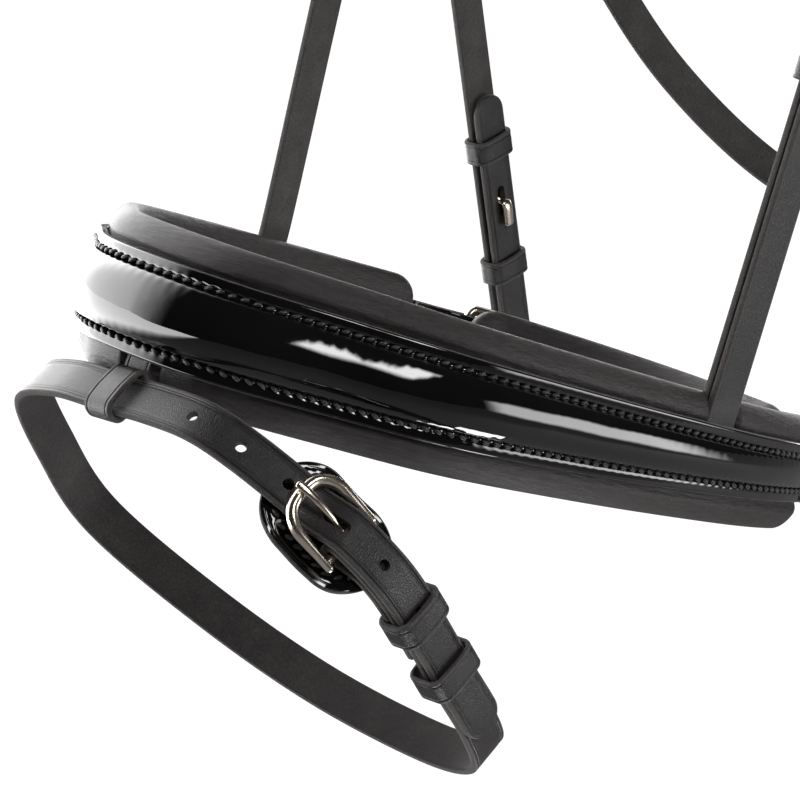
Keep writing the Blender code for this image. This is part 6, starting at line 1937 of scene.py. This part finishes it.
def add_area(name, place, aim, size, glow, along=X, mirrored_too=True, faded=0.0):
    """A rectangular lamp that faces a point, with its first size along a direction: its power is
    its face's brightness times pi times its area."""
    data = bpy.data.lights.new(name, "AREA")
    data.shape = "RECTANGLE"
    data.size, data.size_y = size
    data.energy = glow * math.pi * size[0] * size[1]
    if faded:
        fade_edges(data, faded)
    back = unit(np.array(place) - aim)
    side = unit(np.array(along) - back * (np.array(along) @ back))
    lamp = placed(name, data, place, (side, np.cross(back, side), back))
    lamp.visible_camera = False
    lamp.visible_glossy = mirrored_too


def add_camera(stage):
    """The camera at the photograph's place, turned by its azimuth, elevation and roll."""
    data = bpy.data.cameras.new("camera")
    data.sensor_width = 36
    data.lens = stage.lens
    data.clip_start, data.clip_end = 0.05, 20
    azimuth, elevation, roll = (math.radians(v) for v in CAMERA_ANGLES)
    right = X * math.cos(azimuth) + Y * math.sin(azimuth)
    back = np.cross(right, Z) * math.cos(elevation) + Z * math.sin(elevation)
    up = np.cross(back, right)
    sides = right * math.cos(roll) + up * math.sin(roll), up * math.cos(roll) - right * math.sin(roll)
    bpy.context.scene.camera = placed("camera", data, CAMERA_PLACE, (*sides, back))


def add_floor(stage):
    """A wide pale floor that looks white, keeps a faint shadow and glows in what the nose mirrors."""
    corners = [(x * FLOOR_REACH, y * FLOOR_REACH, -stage.floor_drop) for x, y in FLOOR_CORNERS]
    mesh = bpy.data.meshes.new("floor")
    mesh.from_pydata(corners, [], [(0, 1, 2, 3)])
    made = bpy.data.materials.new("pale_floor")
    made.use_nodes = True
    tree = made.node_tree
    tree.nodes.clear()
    add = node_adder(tree)
    seen = add("Math", {0: add("LightPath", output="Is Camera Ray"), 1: FLOOR_GLOW}, operation="MULTIPLY")
    place = add("SeparateXYZ", {"Vector": add("NewGeometry", output="Position")}, "X")
    fall = {"From Min": FLOOR_FALL[0], "From Max": FLOOR_FALL[1]}
    fall.update({"Value": place, "To Min": stage.nose_light, "To Max": FLOOR_MIRROR})
    mirror = add("MapRange", fall, interpolation_type="SMOOTHSTEP")
    parts = {0: add("LightPath", output="Is Glossy Ray"), 1: mirror, 2: seen}
    glow = add("Emission", {"Strength": add("Math", parts, operation="MULTIPLY_ADD")})
    matt = add("BsdfDiffuse", {"Color": (FLOOR_TONE, FLOOR_TONE, FLOOR_TONE, 1)})
    total = add("AddShader", {0: matt, 1: glow})
    feed(tree, tree.nodes.new("ShaderNodeOutputMaterial"), {"Surface": total})
    mesh.materials.append(made)
    floor = bpy.data.objects.new("floor", mesh)
    bpy.context.collection.objects.link(floor)


def set_world(stage):
    """White where it is seen, an even light elsewhere, and dark in mirrors but on two sides."""
    world = bpy.data.worlds.new("studio")
    bpy.context.scene.world = world
    world.use_nodes = True
    tree = world.node_tree
    tree.nodes.clear()
    add = node_adder(tree)
    place = add("TexCoord", output="Generated")
    sides = ((NOSE_SIDE, 0.50, stage.nose_light), (REAR_SIDE, 0.60, stage.rim_light))
    falls = {}
    for slot, (side, start, glow) in enumerate(sides):
        facing = add("VectorMath", {0: place, 1: side}, "Value", operation="DOT_PRODUCT")
        fall = {"Value": facing, "From Min": start, "From Max": SIDE_FULL}
        fall.update({"To Min": stage.gloom / 2, "To Max": glow})
        falls[slot] = add("MapRange", fall, interpolation_type="SMOOTHSTEP")
    mirror = add("Background", {"Strength": add("Math", falls, operation="ADD")})
    even = add("Background", {"Strength": stage.sky})
    mixed = add("MixShader", {"Fac": add("LightPath", output="Is Glossy Ray"), 1: even, 2: mirror})
    seen = {"Fac": add("LightPath", output="Is Camera Ray"), 1: mixed, 2: add("Background")}
    feed(tree, tree.nodes.new("ShaderNodeOutputWorld"), {"Surface": add("MixShader", seen)})


def make_stage(stage):
    """Camera, floor, surroundings and lamps."""
    add_camera(stage)
    add_floor(stage)
    set_world(stage)
    middle = (0.04, -0.20, -0.35)
    front, rear = stage.side_light, stage.rear_light
    add_area("top_light", (0.35, -0.35, 1.25), middle, (1.6, 1.6), stage.top_light, mirrored_too=False)
    add_area("rear_light", (1.03, 0.33, -0.37), middle, (1.20, 0.52), rear, (-0.39, 0.96, -0.29), faded=0.25)
    add_area("front_light", (0.83, -0.38, 0.53), middle, (0.95, 0.22), front, (-0.23, 0.70, 0.36), faded=0.3)
    add_area("low_light", (0.15, -0.24, -0.74), (0.07, -0.20, -0.35), (0.12, 0.26), front, Y)
    bpy.context.scene.view_settings.view_transform = "Standard"


# Operators
def run_step(context, make):
    """Runs one making step with the scene's settings."""
    look = context.scene.bridle_look
    make(look, finishes(look))
    return {"FINISHED"}


class BRIDLE_OT_noseband(bpy.types.Operator):
    """Make the patent noseband, its stitching, pad and rings"""

    bl_idname = "bridle.noseband"
    bl_label = "Noseband"

    def execute(self, context):
        return run_step(context, make_noseband)


class BRIDLE_OT_flash(bpy.types.Operator):
    """Make the flash strap, its loop, guard and buckle"""

    bl_idname = "bridle.flash"
    bl_label = "Flash strap"

    def execute(self, context):
        return run_step(context, make_flash)


class BRIDLE_OT_head(bpy.types.Operator):
    """Make the crown pad, the noseband's headstrap and its near hanger"""

    bl_idname = "bridle.head"
    bl_label = "Crown pad and hanger"

    def execute(self, context):
        return run_step(context, make_head)


class BRIDLE_OT_headpiece(bpy.types.Operator):
    """Make the headpiece with its cheek and throat tails"""

    bl_idname = "bridle.headpiece"
    bl_label = "Headpiece"

    def execute(self, context):
        return run_step(context, make_headpiece)


class BRIDLE_OT_throat(bpy.types.Operator):
    """Make the throatlash's buckle and loops"""

    bl_idname = "bridle.throat"
    bl_label = "Throatlash buckle"

    def execute(self, context):
        return run_step(context, make_throat)


class BRIDLE_OT_cheeks(bpy.types.Operator):
    """Make both cheekpieces with their hook studs and buckles"""

    bl_idname = "bridle.cheeks"
    bl_label = "Cheekpieces"

    def execute(self, context):
        return run_step(context, make_cheeks)


class BRIDLE_OT_browband(bpy.types.Operator):
    """Make the browband, its roll and its loops"""

    bl_idname = "bridle.browband"
    bl_label = "Browband"

    def execute(self, context):
        return run_step(context, make_browband)


class BRIDLE_OT_crank(bpy.types.Operator):
    """Make the chin strap, its buckle and the chin pad"""

    bl_idname = "bridle.crank"
    bl_label = "Crank and chin pad"

    def execute(self, context):
        return run_step(context, make_crank)


class BRIDLE_OT_stage(bpy.types.Operator):
    """Make the camera, the floor and the light"""

    bl_idname = "bridle.stage"
    bl_label = "Stage"

    def execute(self, context):
        make_stage(context.scene.bridle_stage)
        return {"FINISHED"}


STEPS = ("noseband", "flash", "head", "headpiece", "throat", "cheeks", "browband", "crank", "stage")


class BRIDLE_PT_panel(bpy.types.Panel):
    """Sizes, colours and making steps of the bridle"""

    bl_idname = "BRIDLE_PT_panel"
    bl_label = "Bridle"
    bl_space_type = "VIEW_3D"
    bl_region_type = "UI"
    bl_category = "Bridle"

    def draw(self, context):
        layout = self.layout
        for group in (context.scene.bridle_look, context.scene.bridle_stage):
            box = layout.box()
            for name in group.bl_rna.properties.keys():
                if name not in {"rna_type", "name"}:
                    box.prop(group, name)
        for step in STEPS:
            layout.operator(f"bridle.{step}")


CLASSES = (
    BridleLook,
    BridleStage,
    BRIDLE_OT_noseband,
    BRIDLE_OT_flash,
    BRIDLE_OT_head,
    BRIDLE_OT_headpiece,
    BRIDLE_OT_throat,
    BRIDLE_OT_cheeks,
    BRIDLE_OT_browband,
    BRIDLE_OT_crank,
    BRIDLE_OT_stage,
    BRIDLE_PT_panel,
)


def register():
    """Registers the classes and hangs their settings on the scene."""
    for kind in CLASSES:
        bpy.utils.register_class(kind)
    bpy.types.Scene.bridle_look = PointerProperty(type=BridleLook)
    bpy.types.Scene.bridle_stage = PointerProperty(type=BridleStage)


def unregister():
    """Takes the settings and classes away again."""
    del bpy.types.Scene.bridle_stage
    del bpy.types.Scene.bridle_look
    for kind in reversed(CLASSES):
        bpy.utils.unregister_class(kind)


def main():
    """Makes every piece in order."""
    register()
    for step in STEPS:
        getattr(bpy.ops.bridle, step)()


if __name__ == "__main__":
    main()
